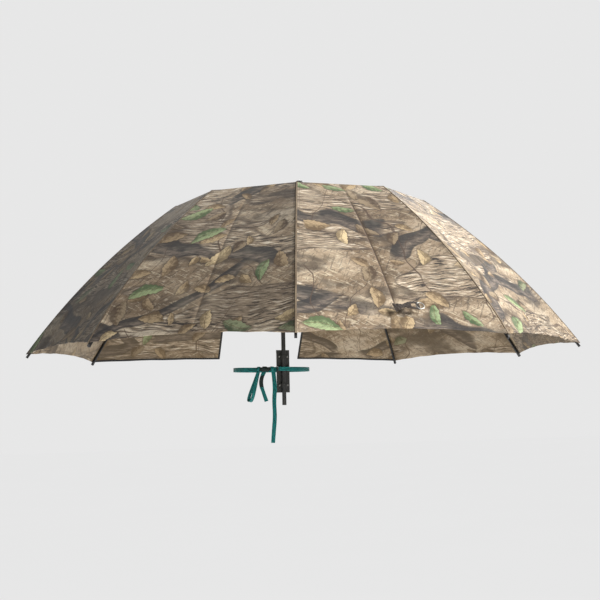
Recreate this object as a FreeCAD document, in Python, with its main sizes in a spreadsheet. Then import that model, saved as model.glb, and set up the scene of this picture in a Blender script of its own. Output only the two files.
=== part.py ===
import FreeCAD, Part
import math
import os
import sys

import Sketcher

# A hunter's tree umbrella: a wide fabric canopy on eight folding ribs, with a slot at the back for a tree trunk.
# A short mast carries it, and a cranked bar brings the load back to a bracket that webbing ties to the trunk.
#
# Axes: +Z is up, the front is -Y, and the trunk stands on the Z axis. The origin is the centre of the webbing
# ring round the trunk. The umbrella's own axis is parallel to it, at reach in front of it.
# "Local" below means a frame on the umbrella's axis with z = 0 in the plane of the rib tips.

VECTOR = FreeCAD.Vector
UP = VECTOR(0, 0, 1)

doc = FreeCAD.newDocument("TreeUmbrella")

# ---------------------------------------------------------------- driving sizes, mm and degrees
SIZES = (
    # where the umbrella stands from the trunk
    ("trunk_radius", 112),
    ("reach", 300),
    ("hem_height", 48),
    # the canopy
    ("canopy_radius", 724),
    ("knuckle_radius", 342),
    ("skirt_drop", 387),
    ("crown_rise", 63),
    ("skirt_bend", 18.5),
    ("hem_scallop", 4),
    ("fabric_thickness", 2),
    ("fabric_start", 11),
    ("soft_gap", 0.4),
    ("panel_gap", 0.3),
    ("slot_half_width", 140),
    ("slot_offset", 15),
    ("slot_corner", 60),
    ("slot_corner_clearance", 16),
    # the ribs
    ("rib_count", 8),
    ("rib_pitch", 39),
    ("rib_depth", 6),
    ("rib_width", 4),
    ("rib_seat", 1.8),
    ("cheek_thickness", 1.4),
    ("cheek_gap", 0.3),
    ("cheek_length", 18),
    ("cheek_window", 6),
    ("rivet_radius", 1.25),
    ("rivet_clearance", 0.08),
    ("tip_length", 18),
    ("tip_socket", 14),
    ("tip_depth", 6),
    ("tip_width", 6),
    # the stretchers
    ("stretcher_reach", 128),
    ("stretcher_depth", 5),
    ("stretcher_fork", 45),
    ("stretcher_open_end", 4.5),
    # the crown and the runner
    ("hinge_radius", 18),
    ("wire_radius", 1),
    ("wire_clearance", 0.2),
    ("wire_channel_clearance", 0.05),
    ("hub_radius", 24),
    ("hub_below_hinge", 12),
    ("hub_slot_start", 14),
    ("hub_slot_width", 4.8),
    ("fit_clearance", 0.05),
    ("finial_radius", 20),
    ("finial_height", 16),
    ("finial_rim", 2.5),
    ("finial_neck_radius", 12),
    ("runner_barrel_radius", 11),
    ("runner_barrel_length", 22),
    ("runner_flange_height", 8),
    ("runner_slot_start", 13),
    ("runner_clearance", 0.1),
    # the mast
    ("shaft_radius", 7),
    ("shaft_bore", 6.1),
    ("shaft_bottom", 138),
    ("shaft_above_apex", 6),
    ("bar_radius", 6),
    ("bar_wall", 1.2),
    ("bar_bend", 28),
    ("bar_arm_height", 106),
    ("bar_top", 196),
    ("bar_bottom", -150),
    ("plug_flange", 2),
    ("plug_spigot", 10),
    ("button_radius", 2.5),
    ("button_clearance", 0.1),
    ("button_rise", 12),
    ("button_proud", 1.4),
    ("button_inner_end", 1.8),
    ("catch_width", 3),
    ("catch_height", 7.6),
    ("catch_proud", 2.2),
    ("catch_inner_end", 3.2),
    ("catch_gap", 0.5),
    # the bracket and the webbing
    ("bracket_width", 38),
    ("bracket_thickness", 4),
    ("bracket_above", 54),
    ("bracket_below", 68),
    ("bracket_pad_height", 8),
    ("pad_to_trunk", 0.4),
    ("strap_width", 12),
    ("strap_thickness", 1.6),
    ("strap_gap", 0.4),
    ("strap_slot_height", 14),
    ("saddle_wall", 2.2),
    ("saddle_width", 12),
    ("saddle_ear", 9),
    ("saddle_inset", 14),
    ("knot_angle", -26),
    ("knot_length", 52),
    ("knot_height", 14),
    ("knot_depth", 10),
    ("loop_length", 84),
    ("loop_radius", 13),
    ("loop_angle", -35.5),
    ("loop_lean", 16),
    ("short_tail_length", 88),
    ("short_tail_angle", -27),
    ("long_tail_length", 200),
    ("long_tail_angle", -14),
    ("tail_thickness", 1.4),
    ("tail_sag", 5),
    # the tie that keeps the furled canopy closed
    ("tie_width", 20),
    ("tie_length", 64),
    ("tie_thickness", 2),
    ("tie_above_hem", 55),
    ("tie_ring_radius", 9),
    ("tie_ring_wire", 1.2),
)

# ---------------------------------------------------------------- sizes that follow from them
DERIVED = (
    ("crown_slope", "atan(Sizes.crown_rise / Sizes.knuckle_radius)"),
    ("skirt_run", "Sizes.canopy_radius - Sizes.knuckle_radius"),
    ("chord_slope", "atan(Sizes.skirt_drop / skirt_run)"),
    ("chord_length", "sqrt(skirt_run ^ 2 + Sizes.skirt_drop ^ 2)"),
    ("bow_radius", "chord_length / (2 * sin(Sizes.skirt_bend / 2))"),
    ("bow_inset", "bow_radius * cos(Sizes.skirt_bend / 2)"),
    ("bow_x", "(Sizes.canopy_radius + Sizes.knuckle_radius) / 2 - bow_inset * sin(chord_slope)"),
    ("bow_z", "Sizes.skirt_drop / 2 - bow_inset * cos(chord_slope)"),
    ("bow_start", "Sizes.skirt_bend * -0.5 + chord_slope / 1deg"),
    ("bow_end", "Sizes.skirt_bend * 0.5 + chord_slope / 1deg"),
    ("degrees_per_mm", "180 / (3.14159265 * bow_radius)"),
    ("rib_line", "Sizes.fabric_thickness + Sizes.rib_seat + Sizes.rib_depth / 2"),
    ("bow_rib_radius", "bow_radius - rib_line"),
    ("knuckle_half_turn", "(bow_start - crown_slope / 1deg) / 2"),
    ("knuckle_mean_slope", "(bow_start + crown_slope / 1deg) / 2"),
    ("knuckle_offset", "rib_line / cos(knuckle_half_turn)"),
    ("pivot_x", "Sizes.knuckle_radius - knuckle_offset * sin(knuckle_mean_slope)"),
    ("pivot_z", "Sizes.skirt_drop - knuckle_offset * cos(knuckle_mean_slope)"),
    ("apex_z", "Sizes.skirt_drop + Sizes.crown_rise"),
    ("hinge_z", "apex_z - Sizes.hinge_radius * tan(crown_slope) - rib_line / cos(crown_slope)"),
    ("inner_run", "pivot_x - Sizes.hinge_radius"),
    ("inner_fall", "hinge_z - pivot_z"),
    ("inner_slope", "atan(inner_fall / inner_run)"),
    ("inner_length", "sqrt(inner_run ^ 2 + inner_fall ^ 2)"),
    ("cheek_width", "Sizes.rib_width + 2 * Sizes.cheek_gap + 2 * Sizes.cheek_thickness"),
    ("fork_gap", "Sizes.rib_width + 2 * Sizes.cheek_gap"),
    ("runner_z", "hinge_z - 2 * Sizes.stretcher_reach * sin(inner_slope)"),
    ("rear_half_gap", "180 - (Sizes.rib_count - 1) / 2 * Sizes.rib_pitch"),
    ("rear_share", "cos(rear_half_gap)"),
    ("slot_end", "Sizes.knuckle_radius * rear_share - Sizes.slot_corner - Sizes.slot_corner_clearance"),
    ("button_height", "Sizes.shaft_bottom + Sizes.button_rise"),
    ("hub_fabric_z", "apex_z - Sizes.hub_radius / rear_share * tan(crown_slope) - Sizes.fabric_thickness"),
    ("hub_top", "hub_fabric_z - Sizes.soft_gap"),
    ("shaft_top", "apex_z + Sizes.shaft_above_apex"),
    ("bracket_back", "Sizes.trunk_radius + Sizes.strap_thickness + Sizes.strap_gap"),
    ("bracket_front", "bracket_back + Sizes.bracket_thickness"),
    ("bar_distance", "bracket_front + Sizes.fit_clearance + Sizes.bar_radius"),
    ("strap_front", "bar_distance + Sizes.bar_radius + Sizes.strap_gap"),
    ("strap_leg", "Sizes.bar_radius + Sizes.saddle_ear + Sizes.strap_thickness / 2"),
    ("catch_top", "runner_z - Sizes.runner_barrel_length - Sizes.catch_gap"),
)


def make_sheet(name, rows, formula):
    sheet = doc.addObject("Spreadsheet::Sheet", name)
    for row, (alias, value) in enumerate(rows, start=1):
        sheet.set(f"A{row}", alias)
        sheet.setAlias(f"B{row}", alias)
        sheet.set(f"B{row}", f"={value}" if formula else str(value))
    doc.recompute()
    return sheet


sizes = make_sheet("Sizes", SIZES, False)
derived = make_sheet("Derived", DERIVED, True)
DERIVED_NAMES = {alias for alias, _ in DERIVED}


def size(alias):
    """The number in either sheet's cell of that name."""
    value = (derived if alias in DERIVED_NAMES else sizes).get(alias)
    return float(getattr(value, "Value", value))


def cell(alias):
    """The name that an expression uses for that cell."""
    return f"Derived.{alias}" if alias in DERIVED_NAMES else f"Sizes.{alias}"


def bind(target, path, text):
    """Binds a property to an expression in which a cell is written as {alias}."""
    target.setExpression(path, filled(text))


def filled(text):
    names = [alias for alias, _ in SIZES + DERIVED]
    return text.format(**{alias: cell(alias) for alias in names})


# ---------------------------------------------------------------- places
def radians(degrees):
    return math.radians(degrees)


LOCAL = FreeCAD.Placement(VECTOR(0, -size("reach"), size("hem_height")), FreeCAD.Rotation())


def turned(azimuth):
    """The local frame turned so that its X axis points outward at that azimuth: 0 is the front, + towards +X."""
    return LOCAL * FreeCAD.Placement(VECTOR(), FreeCAD.Rotation(UP, azimuth - 90))


def tilted(x, z, slope):
    """A frame at (x, z) in the radial plane, with X falling outward at that slope."""
    return FreeCAD.Placement(VECTOR(x, 0, z), FreeCAD.Rotation(VECTOR(0, 1, 0), slope))


def azimuth_of(index):
    """Rib 1 is the one at the back on the -X side; the others follow round the front to the back on the +X side."""
    return (index - (size("rib_count") + 1) / 2) * size("rib_pitch")


# ---------------------------------------------------------------- drawing helpers
def new_body(name):
    body = doc.addObject("PartDesign::Body", name)
    body.Label = name
    return body


def origin_plane(body, role):
    return next(f for f in body.Origin.OriginFeatures if f.Role == role)


def new_sketch(body, name, role="XZ_Plane"):
    sketch = body.newObject("Sketcher::SketchObject", name)
    sketch.AttachmentSupport = (origin_plane(body, role), [""])
    sketch.MapMode = "FlatFace"
    return sketch


def value_of(text):
    """The number that an expression with {alias} cells gives now."""
    holder = doc.addObject("App::FeaturePython", "Worked")
    holder.addProperty("App::PropertyFloat", "Result")
    result = holder.evalExpression(filled(text))
    doc.removeObject(holder.Name)
    return float(getattr(result, "Value", result))


def fix(sketch, kind, where, text):
    """Adds one dimension to a sketch, bound to an expression."""
    number = value_of(text)
    index = sketch.addConstraint(Sketcher.Constraint(kind, *where, number))
    sketch.renameConstraint(index, f"size_{index}")
    bind(sketch, f"Constraints.size_{index}", text)


def fix_point(sketch, geometry, end, x_text, y_text):
    fix(sketch, "DistanceX", (-1, 1, geometry, end), x_text)
    fix(sketch, "DistanceY", (-1, 1, geometry, end), y_text)


def draw_polygon(sketch, corners):
    """A closed outline through (x, y) corners, each a pair of expressions."""
    first = sketch.GeometryCount
    points = [VECTOR(value_of(x), value_of(y), 0) for x, y in corners]
    count = len(points)
    for n in range(count):
        sketch.addGeometry(Part.LineSegment(points[n], points[(n + 1) % count]), False)
    for n in range(count):
        sketch.addConstraint(Sketcher.Constraint("Coincident", first + n, 2, first + (n + 1) % count, 1))
    for n, (x, y) in enumerate(corners):
        fix_point(sketch, first + n, 1, x, y)


def draw_box(sketch, x0, y0, x1, y1):
    draw_polygon(sketch, ((x0, y0), (x1, y0), (x1, y1), (x0, y1)))


def draw_circle(sketch, x, y, radius):
    middle = VECTOR(value_of(x), value_of(y), 0)
    index = sketch.addGeometry(Part.Circle(middle, UP, value_of(radius)), False)
    fix_point(sketch, index, 3, x, y)
    fix(sketch, "Radius", (index,), radius)


def draw_stadium(sketch, length, radius):
    """A bar with round ends: from the origin to (length, 0), with that end radius."""
    long, r = value_of(length), value_of(radius)
    quarter = math.pi / 2
    low = sketch.addGeometry(Part.LineSegment(VECTOR(0, -r, 0), VECTOR(long, -r, 0)), False)
    far = sketch.addGeometry(Part.ArcOfCircle(Part.Circle(VECTOR(long, 0, 0), UP, r), -quarter, quarter), False)
    top = sketch.addGeometry(Part.LineSegment(VECTOR(long, r, 0), VECTOR(0, r, 0)), False)
    near = sketch.addGeometry(Part.ArcOfCircle(Part.Circle(VECTOR(), UP, r), quarter, 3 * quarter), False)
    sketch.addConstraint(Sketcher.Constraint("Tangent", low, 2, far, 1))
    sketch.addConstraint(Sketcher.Constraint("Tangent", far, 2, top, 1))
    sketch.addConstraint(Sketcher.Constraint("Tangent", top, 2, near, 1))
    sketch.addConstraint(Sketcher.Constraint("Tangent", near, 2, low, 1))
    sketch.addConstraint(Sketcher.Constraint("Coincident", near, 3, -1, 1))
    sketch.addConstraint(Sketcher.Constraint("Horizontal", low))
    fix(sketch, "DistanceX", (-1, 1, far, 3), length)
    fix(sketch, "Radius", (far,), radius)


def pad(body, name, sketch, length):
    """A pad on both sides of its sketch."""
    feature = body.newObject("PartDesign::Pad", name)
    feature.Profile = sketch
    feature.SideType = "Symmetric"
    bind(feature, "Length", length)
    return feature


def pocket(body, name, sketch, length):
    """A pocket on both sides of its sketch; it must take material away."""
    before = body.Tip
    feature = body.newObject("PartDesign::Pocket", name)
    feature.Profile = sketch
    feature.SideType = "Symmetric"
    bind(feature, "Length", length)
    must_cut(before, feature)
    return feature


def must_cut(before, feature):
    doc.recompute()
    if feature.Shape.Volume > before.Shape.Volume - 1e-3:
        sys.exit(f"{feature.Label} takes nothing away")


def revolve(body, name, sketch):
    feature = body.newObject("PartDesign::Revolution", name)
    feature.Profile = sketch
    feature.ReferenceAxis = (sketch, ["V_Axis"])
    feature.Angle = 360
    return feature


def round_the_crown(body, name, feature):
    """Repeats a radial slot at every rib, leaving out the wide gap for the tree."""
    pattern = body.newObject("PartDesign::PolarPattern", name)
    pattern.Originals = [feature]
    pattern.Axis = (origin_axis(body), [""])
    bind(pattern, "Angle", "({rib_count} - 1) * {rib_pitch}")
    pattern.Occurrences = int(size("rib_count"))
    body.Tip = pattern
    must_cut(feature, pattern)
    return pattern


def origin_axis(body):
    return next(f for f in body.Origin.OriginFeatures if f.Role == "Z_Axis")


def solid_feature(name, shape, placement):
    feature = doc.addObject("Part::Feature", name)
    feature.Label = name
    feature.Shape = shape
    feature.Placement = placement
    return feature


def primitive(kind, name, placement, **texts):
    feature = doc.addObject(f"Part::{kind}", name)
    feature.Label = name
    for path, text in texts.items():
        bind(feature, path, text)
    feature.Placement = placement
    return feature


def boolean(kind, name, *shapes):
    feature = doc.addObject(f"Part::{kind}", name)
    feature.Label = name
    if kind == "Cut":
        feature.Base, feature.Tool = shapes
    else:
        feature.Shapes = list(shapes)
    return feature


# ---------------------------------------------------------------- ribs
def make_inner_rib(index):
    """A flat steel bar from the crown to the knuckle, with an eye at each end and one for the stretcher."""
    body = new_body(f"inner_rib_{index}")
    outline = new_sketch(body, f"inner_rib_outline_{index}")
    draw_stadium(outline, "{inner_length}", "{rib_depth} / 2")
    draw_circle(outline, "0", "0", "{wire_radius} + {wire_clearance}")
    draw_circle(outline, "{stretcher_reach}", "0", "{rivet_radius} + {rivet_clearance}")
    draw_circle(outline, "{inner_length}", "0", "{rivet_radius} + {rivet_clearance}")
    pad(body, f"inner_rib_bar_{index}", outline, "{rib_width}")
    body.Placement = turned(azimuth_of(index)) * tilted(size("hinge_radius"), size("hinge_z"), size("inner_slope"))
    return body


def draw_bow(sketch, start, end, depth):
    """A band along the outer rib's bow, between two slopes in degrees, centred on the rib line."""
    edges = []
    for side in ("+", "-"):
        radius = f"({{bow_rib_radius}} {side} ({depth}) / 2)"
        centre = VECTOR(size("bow_x"), size("bow_z"), 0)
        first, last = (radians(90 - value_of(t)) for t in (end, start))
        arc = Part.ArcOfCircle(Part.Circle(centre, UP, value_of(radius)), first, last)
        index = sketch.addGeometry(arc, False)
        fix_point(sketch, index, 3, "{bow_x}", "{bow_z}")
        fix(sketch, "Radius", (index,), radius)
        fix(sketch, "DistanceX", (-1, 1, index, 1), f"{{bow_x}} + {radius} * sin({end})")
        fix(sketch, "DistanceX", (-1, 1, index, 2), f"{{bow_x}} + {radius} * sin({start})")
        edges.append((index, arc))
    (upper, upper_arc), (lower, lower_arc) = edges
    for upper_end, lower_end, point in ((1, 1, "StartPoint"), (2, 2, "EndPoint")):
        line = sketch.addGeometry(Part.LineSegment(getattr(upper_arc, point), getattr(lower_arc, point)), False)
        sketch.addConstraint(Sketcher.Constraint("Coincident", line, 1, upper, upper_end))
        sketch.addConstraint(Sketcher.Constraint("Coincident", line, 2, lower, lower_end))


def make_outer_rib(index):
    """The bowed rib from the knuckle to the hem: two cheeks and a rivet at the knuckle, and a moulded tip."""
    body = new_body(f"outer_rib_{index}")
    bow = new_sketch(body, f"outer_rib_bow_{index}")
    draw_bow(bow, "{bow_start} + {cheek_window} * {degrees_per_mm}", "{bow_end}", "{rib_depth}")
    pad(body, f"outer_rib_blade_{index}", bow, "{rib_width}")
    cheeks = new_sketch(body, f"outer_rib_cheek_outline_{index}")
    draw_bow(cheeks, "{bow_start}", "{bow_start} + {cheek_length} * {degrees_per_mm}", "{rib_depth}")
    pad(body, f"outer_rib_cheeks_{index}", cheeks, "{cheek_width}")
    eye = new_sketch(body, f"outer_rib_eye_outline_{index}")
    draw_circle(eye, "{pivot_x}", "{pivot_z}", "{rib_depth} / 2")
    pad(body, f"outer_rib_eye_{index}", eye, "{cheek_width}")
    tip = new_sketch(body, f"outer_rib_tip_outline_{index}")
    draw_bow(
        tip,
        "{bow_end} - {tip_socket} * {degrees_per_mm}",
        "{bow_end} + {tip_length} * {degrees_per_mm}",
        "{tip_depth}",
    )
    pad(body, f"outer_rib_tip_{index}", tip, "{tip_width}")
    window = new_sketch(body, f"outer_rib_window_outline_{index}")
    draw_circle(window, "{pivot_x}", "{pivot_z}", "{cheek_window}")
    pocket(body, f"outer_rib_window_{index}", window, "{fork_gap}")
    rivet = new_sketch(body, f"outer_rib_rivet_outline_{index}")
    draw_circle(rivet, "{pivot_x}", "{pivot_z}", "{rivet_radius}")
    pad(body, f"outer_rib_rivet_{index}", rivet, "{cheek_width}")
    body.Placement = turned(azimuth_of(index))
    return body


def make_stretcher(index):
    """A forked strut: its cheeks straddle the inner rib, and its blade ends in a slot of the runner."""
    body = new_body(f"stretcher_{index}")
    blade = new_sketch(body, f"stretcher_blade_outline_{index}")
    draw_stadium(blade, "{stretcher_reach} - {stretcher_open_end}", "{stretcher_depth} / 2")
    pad(body, f"stretcher_blade_{index}", blade, "{rib_width}")
    cheeks = new_sketch(body, f"stretcher_cheek_outline_{index}")
    draw_stadium(cheeks, "{stretcher_fork} + {rib_depth}", "{stretcher_depth} / 2")
    pad(body, f"stretcher_cheeks_{index}", cheeks, "{cheek_width}")
    gap = new_sketch(body, f"stretcher_fork_outline_{index}", "XY_Plane")
    draw_box(gap, "-{rib_depth}", "-{fork_gap} / 2", "{stretcher_fork}", "{fork_gap} / 2")
    pocket(body, f"stretcher_fork_{index}", gap, "2 * {rib_depth}")
    rivet = new_sketch(body, f"stretcher_rivet_outline_{index}")
    draw_circle(rivet, "0", "0", "{rivet_radius}")
    pad(body, f"stretcher_rivet_{index}", rivet, "{cheek_width}")
    slope = size("inner_slope")
    x = size("hinge_radius") + size("stretcher_reach") * math.cos(radians(slope))
    z = size("hinge_z") - size("stretcher_reach") * math.sin(radians(slope))
    body.Placement = turned(azimuth_of(index)) * tilted(x, z, 180 - slope)
    return body


# ---------------------------------------------------------------- canopy
def outward(azimuth, radius, z):
    """A point of the local frame at that azimuth and radius."""
    return VECTOR(radius * math.sin(radians(azimuth)), -radius * math.cos(radians(azimuth)), z)


def crown_z(radius):
    """Height of the fabric over a rib, between the crown and the knuckle."""
    return size("apex_z") - radius * math.tan(radians(size("crown_slope")))


def skirt_point(slope):
    """(radius, z) of the fabric over a rib, where it falls at that slope."""
    bow = size("bow_radius")
    radius = size("bow_x") + bow * math.sin(radians(slope))
    return radius, size("bow_z") + bow * math.cos(radians(slope))


def skirt_slope_at(z):
    """The slope at which the fabric over a rib comes down to that height."""
    return math.degrees(math.acos((z - size("bow_z")) / size("bow_radius")))


def arc_over(place, slopes):
    """An arc through the places of three slopes."""
    return Part.Arc(*(place(slope) for slope in slopes)).toShape()


def three(first, last):
    return first, (first + last) / 2, last


def fabric_of(face):
    """Gives a face of the canopy its thickness, downward."""
    return face.extrude(UP * -size("fabric_thickness"))


def towards(point, goal, distance):
    step = goal - point
    step.normalize()
    return point + step * distance


def half_panel_middle(azimuth, side, radius, z):
    """The point half way along the straight line from a rib to its neighbour, less half the gap between panels."""
    own = outward(azimuth, radius, z)
    neighbour = outward(azimuth + side * size("rib_pitch"), radius, z)
    return towards((own + neighbour) * 0.5, own, size("panel_gap") / 2)


def is_rear(index, side):
    """True for the two half panels that face the tree."""
    return (index, side) in ((1, -1), (int(size("rib_count")), 1))


def slot_edge_x(side):
    return size("slot_offset") + side * size("slot_half_width")


def crown_half(index, side):
    """Half of a crown panel: flat, from the rib to the middle of the gap beside it."""
    azimuth = azimuth_of(index)
    start = size("fabric_start")
    end = size("knuckle_radius") - size("panel_gap")
    rib_start = outward(azimuth, start, crown_z(start))
    rib_end = outward(azimuth, end, crown_z(end))
    if is_rear(index, side):
        return rear_crown_half(side, rib_start, rib_end)
    middle_start = half_panel_middle(azimuth, side, start, crown_z(start))
    middle_end = half_panel_middle(azimuth, side, end, crown_z(end))
    return Part.Face(Part.makePolygon([rib_start, rib_end, middle_end, middle_start, rib_start]))


def rear_crown_half(side, rib_start, rib_end):
    """The crown half panel beside the tree, with its part of the slot's round end."""
    edge = slot_edge_x(side)
    corner = size("slot_corner")
    seam = side * size("panel_gap") / 2
    turn = radians(45)

    def on_panel(x, y):
        return VECTOR(x, y, crown_z(y / size("rear_share")))

    centre_x = edge - side * corner
    centre_y = size("slot_end") + corner
    arc = Part.Arc(
        on_panel(edge, centre_y),
        on_panel(centre_x + side * corner * math.cos(turn), centre_y - corner * math.sin(turn)),
        on_panel(centre_x, size("slot_end")),
    )
    before = Part.makePolygon([rib_start, rib_end, on_panel(edge, rib_end.y), on_panel(edge, centre_y)])
    after = Part.makePolygon(
        [on_panel(centre_x, size("slot_end")), on_panel(seam, size("slot_end")), on_panel(seam, rib_start.y), rib_start]
    )
    return Part.Face(Part.Wire(before.Edges + [arc.toShape()] + after.Edges))


def skirt_half(index, side):
    """Half of a skirt panel: ruled from the bowed rib to the middle of the gap, or to the edge of the slot."""
    azimuth = azimuth_of(index)
    gap = size("panel_gap") * size("degrees_per_mm")
    first = size("bow_start") + gap

    def over_rib(slope):
        return outward(azimuth, *skirt_point(slope))

    def over_middle(slope):
        return half_panel_middle(azimuth, side, *skirt_point(slope))

    def over_slot(slope):
        radius, z = skirt_point(slope)
        return VECTOR(slot_edge_x(side), radius * size("rear_share"), z)

    rib = arc_over(over_rib, three(first, size("bow_end")))
    if is_rear(index, side):
        other = arc_over(over_slot, three(first, size("bow_end")))
    else:
        other = arc_over(over_middle, three(first, skirt_slope_at(size("hem_scallop"))))
    return Part.makeRuledSurface(rib, other)


def make_panel(name, half, index):
    """A wedge of fabric centred on its rib, made of its two halves."""
    left, right = (fabric_of(half(index, side)) for side in (-1, 1))
    shape = left.fuse(right).removeSplitter()
    return solid_feature(name, shape, LOCAL)


def make_tie():
    """The hook-and-loop tie on the front panel's middle line, and its small ring."""
    azimuth = 0
    slope = skirt_slope_at(size("tie_above_hem"))
    radius, z = skirt_point(slope)
    radius *= math.cos(radians(size("rib_pitch") / 2))
    fall = math.degrees(math.atan(math.tan(radians(slope)) / math.cos(radians(size("rib_pitch") / 2))))
    on_panel = turned(azimuth) * tilted(radius, z, fall)
    lift = size("soft_gap")
    long, wide, thick = size("tie_length"), size("tie_width"), size("tie_thickness")
    start = 0.15 * wide
    strap = primitive(
        "Box",
        "closure_tie",
        on_panel * FreeCAD.Placement(VECTOR(-wide / 2, start, lift), FreeCAD.Rotation()),
        Length="{tie_width}",
        Width="{tie_length}",
        Height="{tie_thickness}",
    )
    ring_wire = size("tie_ring_wire")
    ring_at = VECTOR(0, start + long + size("tie_ring_radius") + ring_wire, lift + thick / 2)
    ring = primitive(
        "Torus",
        "closure_ring",
        on_panel * FreeCAD.Placement(ring_at, FreeCAD.Rotation()),
        Radius1="{tie_ring_radius}",
        Radius2="{tie_ring_wire}",
    )
    return [strap, ring]


# ---------------------------------------------------------------- crown, runner and mast
def make_crown_hub():
    """The notched hub on top of the shaft, with a slot for each rib and a ring channel for their wire."""
    body = new_body("crown_hub")
    outline = new_sketch(body, "crown_hub_profile")
    draw_box(outline, "{shaft_radius} + {fit_clearance}", "-{hub_below_hinge}", "{hub_radius}", "{hub_top} - {hinge_z}")
    hub = revolve(body, "crown_hub_blank", outline)
    channel = new_sketch(body, "crown_hub_channel_profile")
    draw_circle(channel, "{hinge_radius}", "0", "{wire_radius} + {wire_channel_clearance}")
    groove = body.newObject("PartDesign::Groove", "crown_hub_channel")
    groove.Profile = channel
    groove.ReferenceAxis = (channel, ["V_Axis"])
    groove.Angle = 360
    must_cut(hub, groove)
    slot = new_sketch(body, "crown_hub_slot_outline", "XY_Plane")
    draw_box(slot, "{hub_slot_start}", "-{hub_slot_width} / 2", "{hub_radius} + 1", "{hub_slot_width} / 2")
    first = pocket(body, "crown_hub_slot", slot, "4 * {hub_below_hinge}")
    round_the_crown(body, "crown_hub_slots", first)
    body.Placement = turned(azimuth_of(1)) * tilted(0, size("hinge_z"), 0)
    return body


def make_crown_wire():
    """The ring of wire that the ribs' eyes turn on."""
    place = LOCAL * tilted(0, size("hinge_z"), 0)
    return primitive("Torus", "crown_wire", place, Radius1="{hinge_radius}", Radius2="{wire_radius}")


def make_finial():
    """The domed cap that clamps the canopy and closes the shaft's top."""
    body = new_body("finial")
    bore = "{shaft_radius} + {fit_clearance}"
    neck = "{finial_neck_radius}"
    under_bore = f"{{soft_gap}} - ({bore}) * tan({{crown_slope}})"
    under_rim = "{soft_gap} - {finial_radius} * tan({crown_slope})"
    profile = new_sketch(body, "finial_profile")
    corners = (
        (bore, under_bore),
        ("{finial_radius}", under_rim),
        ("{finial_radius}", f"{under_rim} + {{finial_rim}}"),
        (neck, "{finial_height} / 2"),
        ("{finial_neck_radius} * 0.7", "{finial_height} * 0.85"),
        ("0", "{finial_height}"),
        ("0", "{shaft_above_apex} + {fit_clearance}"),
        (bore, "{shaft_above_apex} + {fit_clearance}"),
    )
    draw_polygon(profile, corners)
    revolve(body, "finial_turned", profile)
    body.Placement = LOCAL * tilted(0, size("apex_z"), 0)
    return body


def make_runner():
    """The collar that slides on the shaft, with a slotted flange for the stretchers."""
    body = new_body("runner")
    profile = new_sketch(body, "runner_profile")
    bore = "{shaft_radius} + {runner_clearance}"
    half = "{runner_flange_height} / 2"
    corners = (
        (bore, "-{runner_barrel_length}"),
        ("{runner_barrel_radius}", "-{runner_barrel_length}"),
        ("{runner_barrel_radius}", f"-{half}"),
        ("{hub_radius}", f"-{half}"),
        ("{hub_radius}", half),
        (bore, half),
    )
    draw_polygon(profile, corners)
    revolve(body, "runner_turned", profile)
    slot = new_sketch(body, "runner_slot_outline", "XY_Plane")
    draw_box(slot, "{runner_slot_start}", "-{hub_slot_width} / 2", "{hub_radius} + 1", "{hub_slot_width} / 2")
    first = pocket(body, "runner_slot", slot, "2 * {runner_flange_height}")
    round_the_crown(body, "runner_slots", first)
    body.Placement = turned(azimuth_of(1)) * tilted(0, size("runner_z"), 0)
    return body


def make_shaft():
    """The upper mast tube, with a window for the catch and a hole for the spring button."""
    body = new_body("upper_shaft")
    ring = new_sketch(body, "upper_shaft_profile")
    draw_box(ring, "{shaft_bore}", "{shaft_bottom}", "{shaft_radius}", "{shaft_top}")
    revolve(body, "upper_shaft_tube", ring)
    hole = new_sketch(body, "upper_shaft_button_outline")
    draw_circle(hole, "0", "{button_height}", "{button_radius} + {button_clearance}")
    front_pocket(body, "upper_shaft_button_hole", hole, "2 * {shaft_radius}")
    window = new_sketch(body, "upper_shaft_window_outline")
    half = "({catch_width} / 2 + {button_clearance})"
    low = "{catch_top} - {catch_height} - {button_clearance}"
    draw_box(window, f"-{half}", low, half, "{catch_top} + {button_clearance}")
    front_pocket(body, "upper_shaft_window", window, "2 * {shaft_radius}")
    body.Placement = LOCAL
    return body


def front_pocket(body, name, sketch, length):
    """A pocket from the XZ plane through the front wall (-Y) alone."""
    before = body.Tip
    feature = body.newObject("PartDesign::Pocket", name)
    feature.Profile = sketch
    feature.Reversed = True
    bind(feature, "Length", length)
    must_cut(before, feature)
    if feature.Shape.Solids[0].CenterOfMass.y < before.Shape.Solids[0].CenterOfMass.y:
        sys.exit(f"{name} cuts the back wall")
    return feature


def make_bar():
    """The cranked lower bar: up the trunk's front, forward over an arm, then up inside the shaft."""
    body = new_body("lower_bar")
    bend = "{bar_bend}"
    arm = "({bar_arm_height} - {bar_bottom})"
    back = "-({reach} - {bar_distance})"
    spine = new_sketch(body, "lower_bar_route", "YZ_Plane")
    draw_crank(spine, bend, arm, back, "({bar_top} - {bar_bottom})")
    section = new_sketch(body, "lower_bar_section", "XY_Plane")
    draw_circle(section, "0", "0", "{bar_radius}")
    draw_circle(section, "0", "0", "{bar_radius} - {bar_wall}")
    pipe = body.newObject("PartDesign::AdditivePipe", "lower_bar_tube")
    pipe.Profile = section
    pipe.Spine = spine
    pipe.Transition = "Transformed"
    hole = new_sketch(body, "lower_bar_button_outline")
    draw_circle(hole, "0", "{button_height} - {bar_bottom}", "{button_radius} + {button_clearance}")
    before = body.Tip
    feature = body.newObject("PartDesign::Pocket", "lower_bar_button_hole")
    feature.Profile = hole
    feature.Reversed = False
    bind(feature, "Length", "{reach} - {bar_distance} + {bar_radius} * 2")
    doc.recompute()
    if feature.Shape.Volume > before.Shape.Volume - 1e-3:
        feature.Reversed = True
    must_cut(before, feature)
    drop = size("hem_height") + size("bar_bottom")
    body.Placement = FreeCAD.Placement(VECTOR(0, -size("bar_distance"), drop), FreeCAD.Rotation())
    return body


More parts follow.
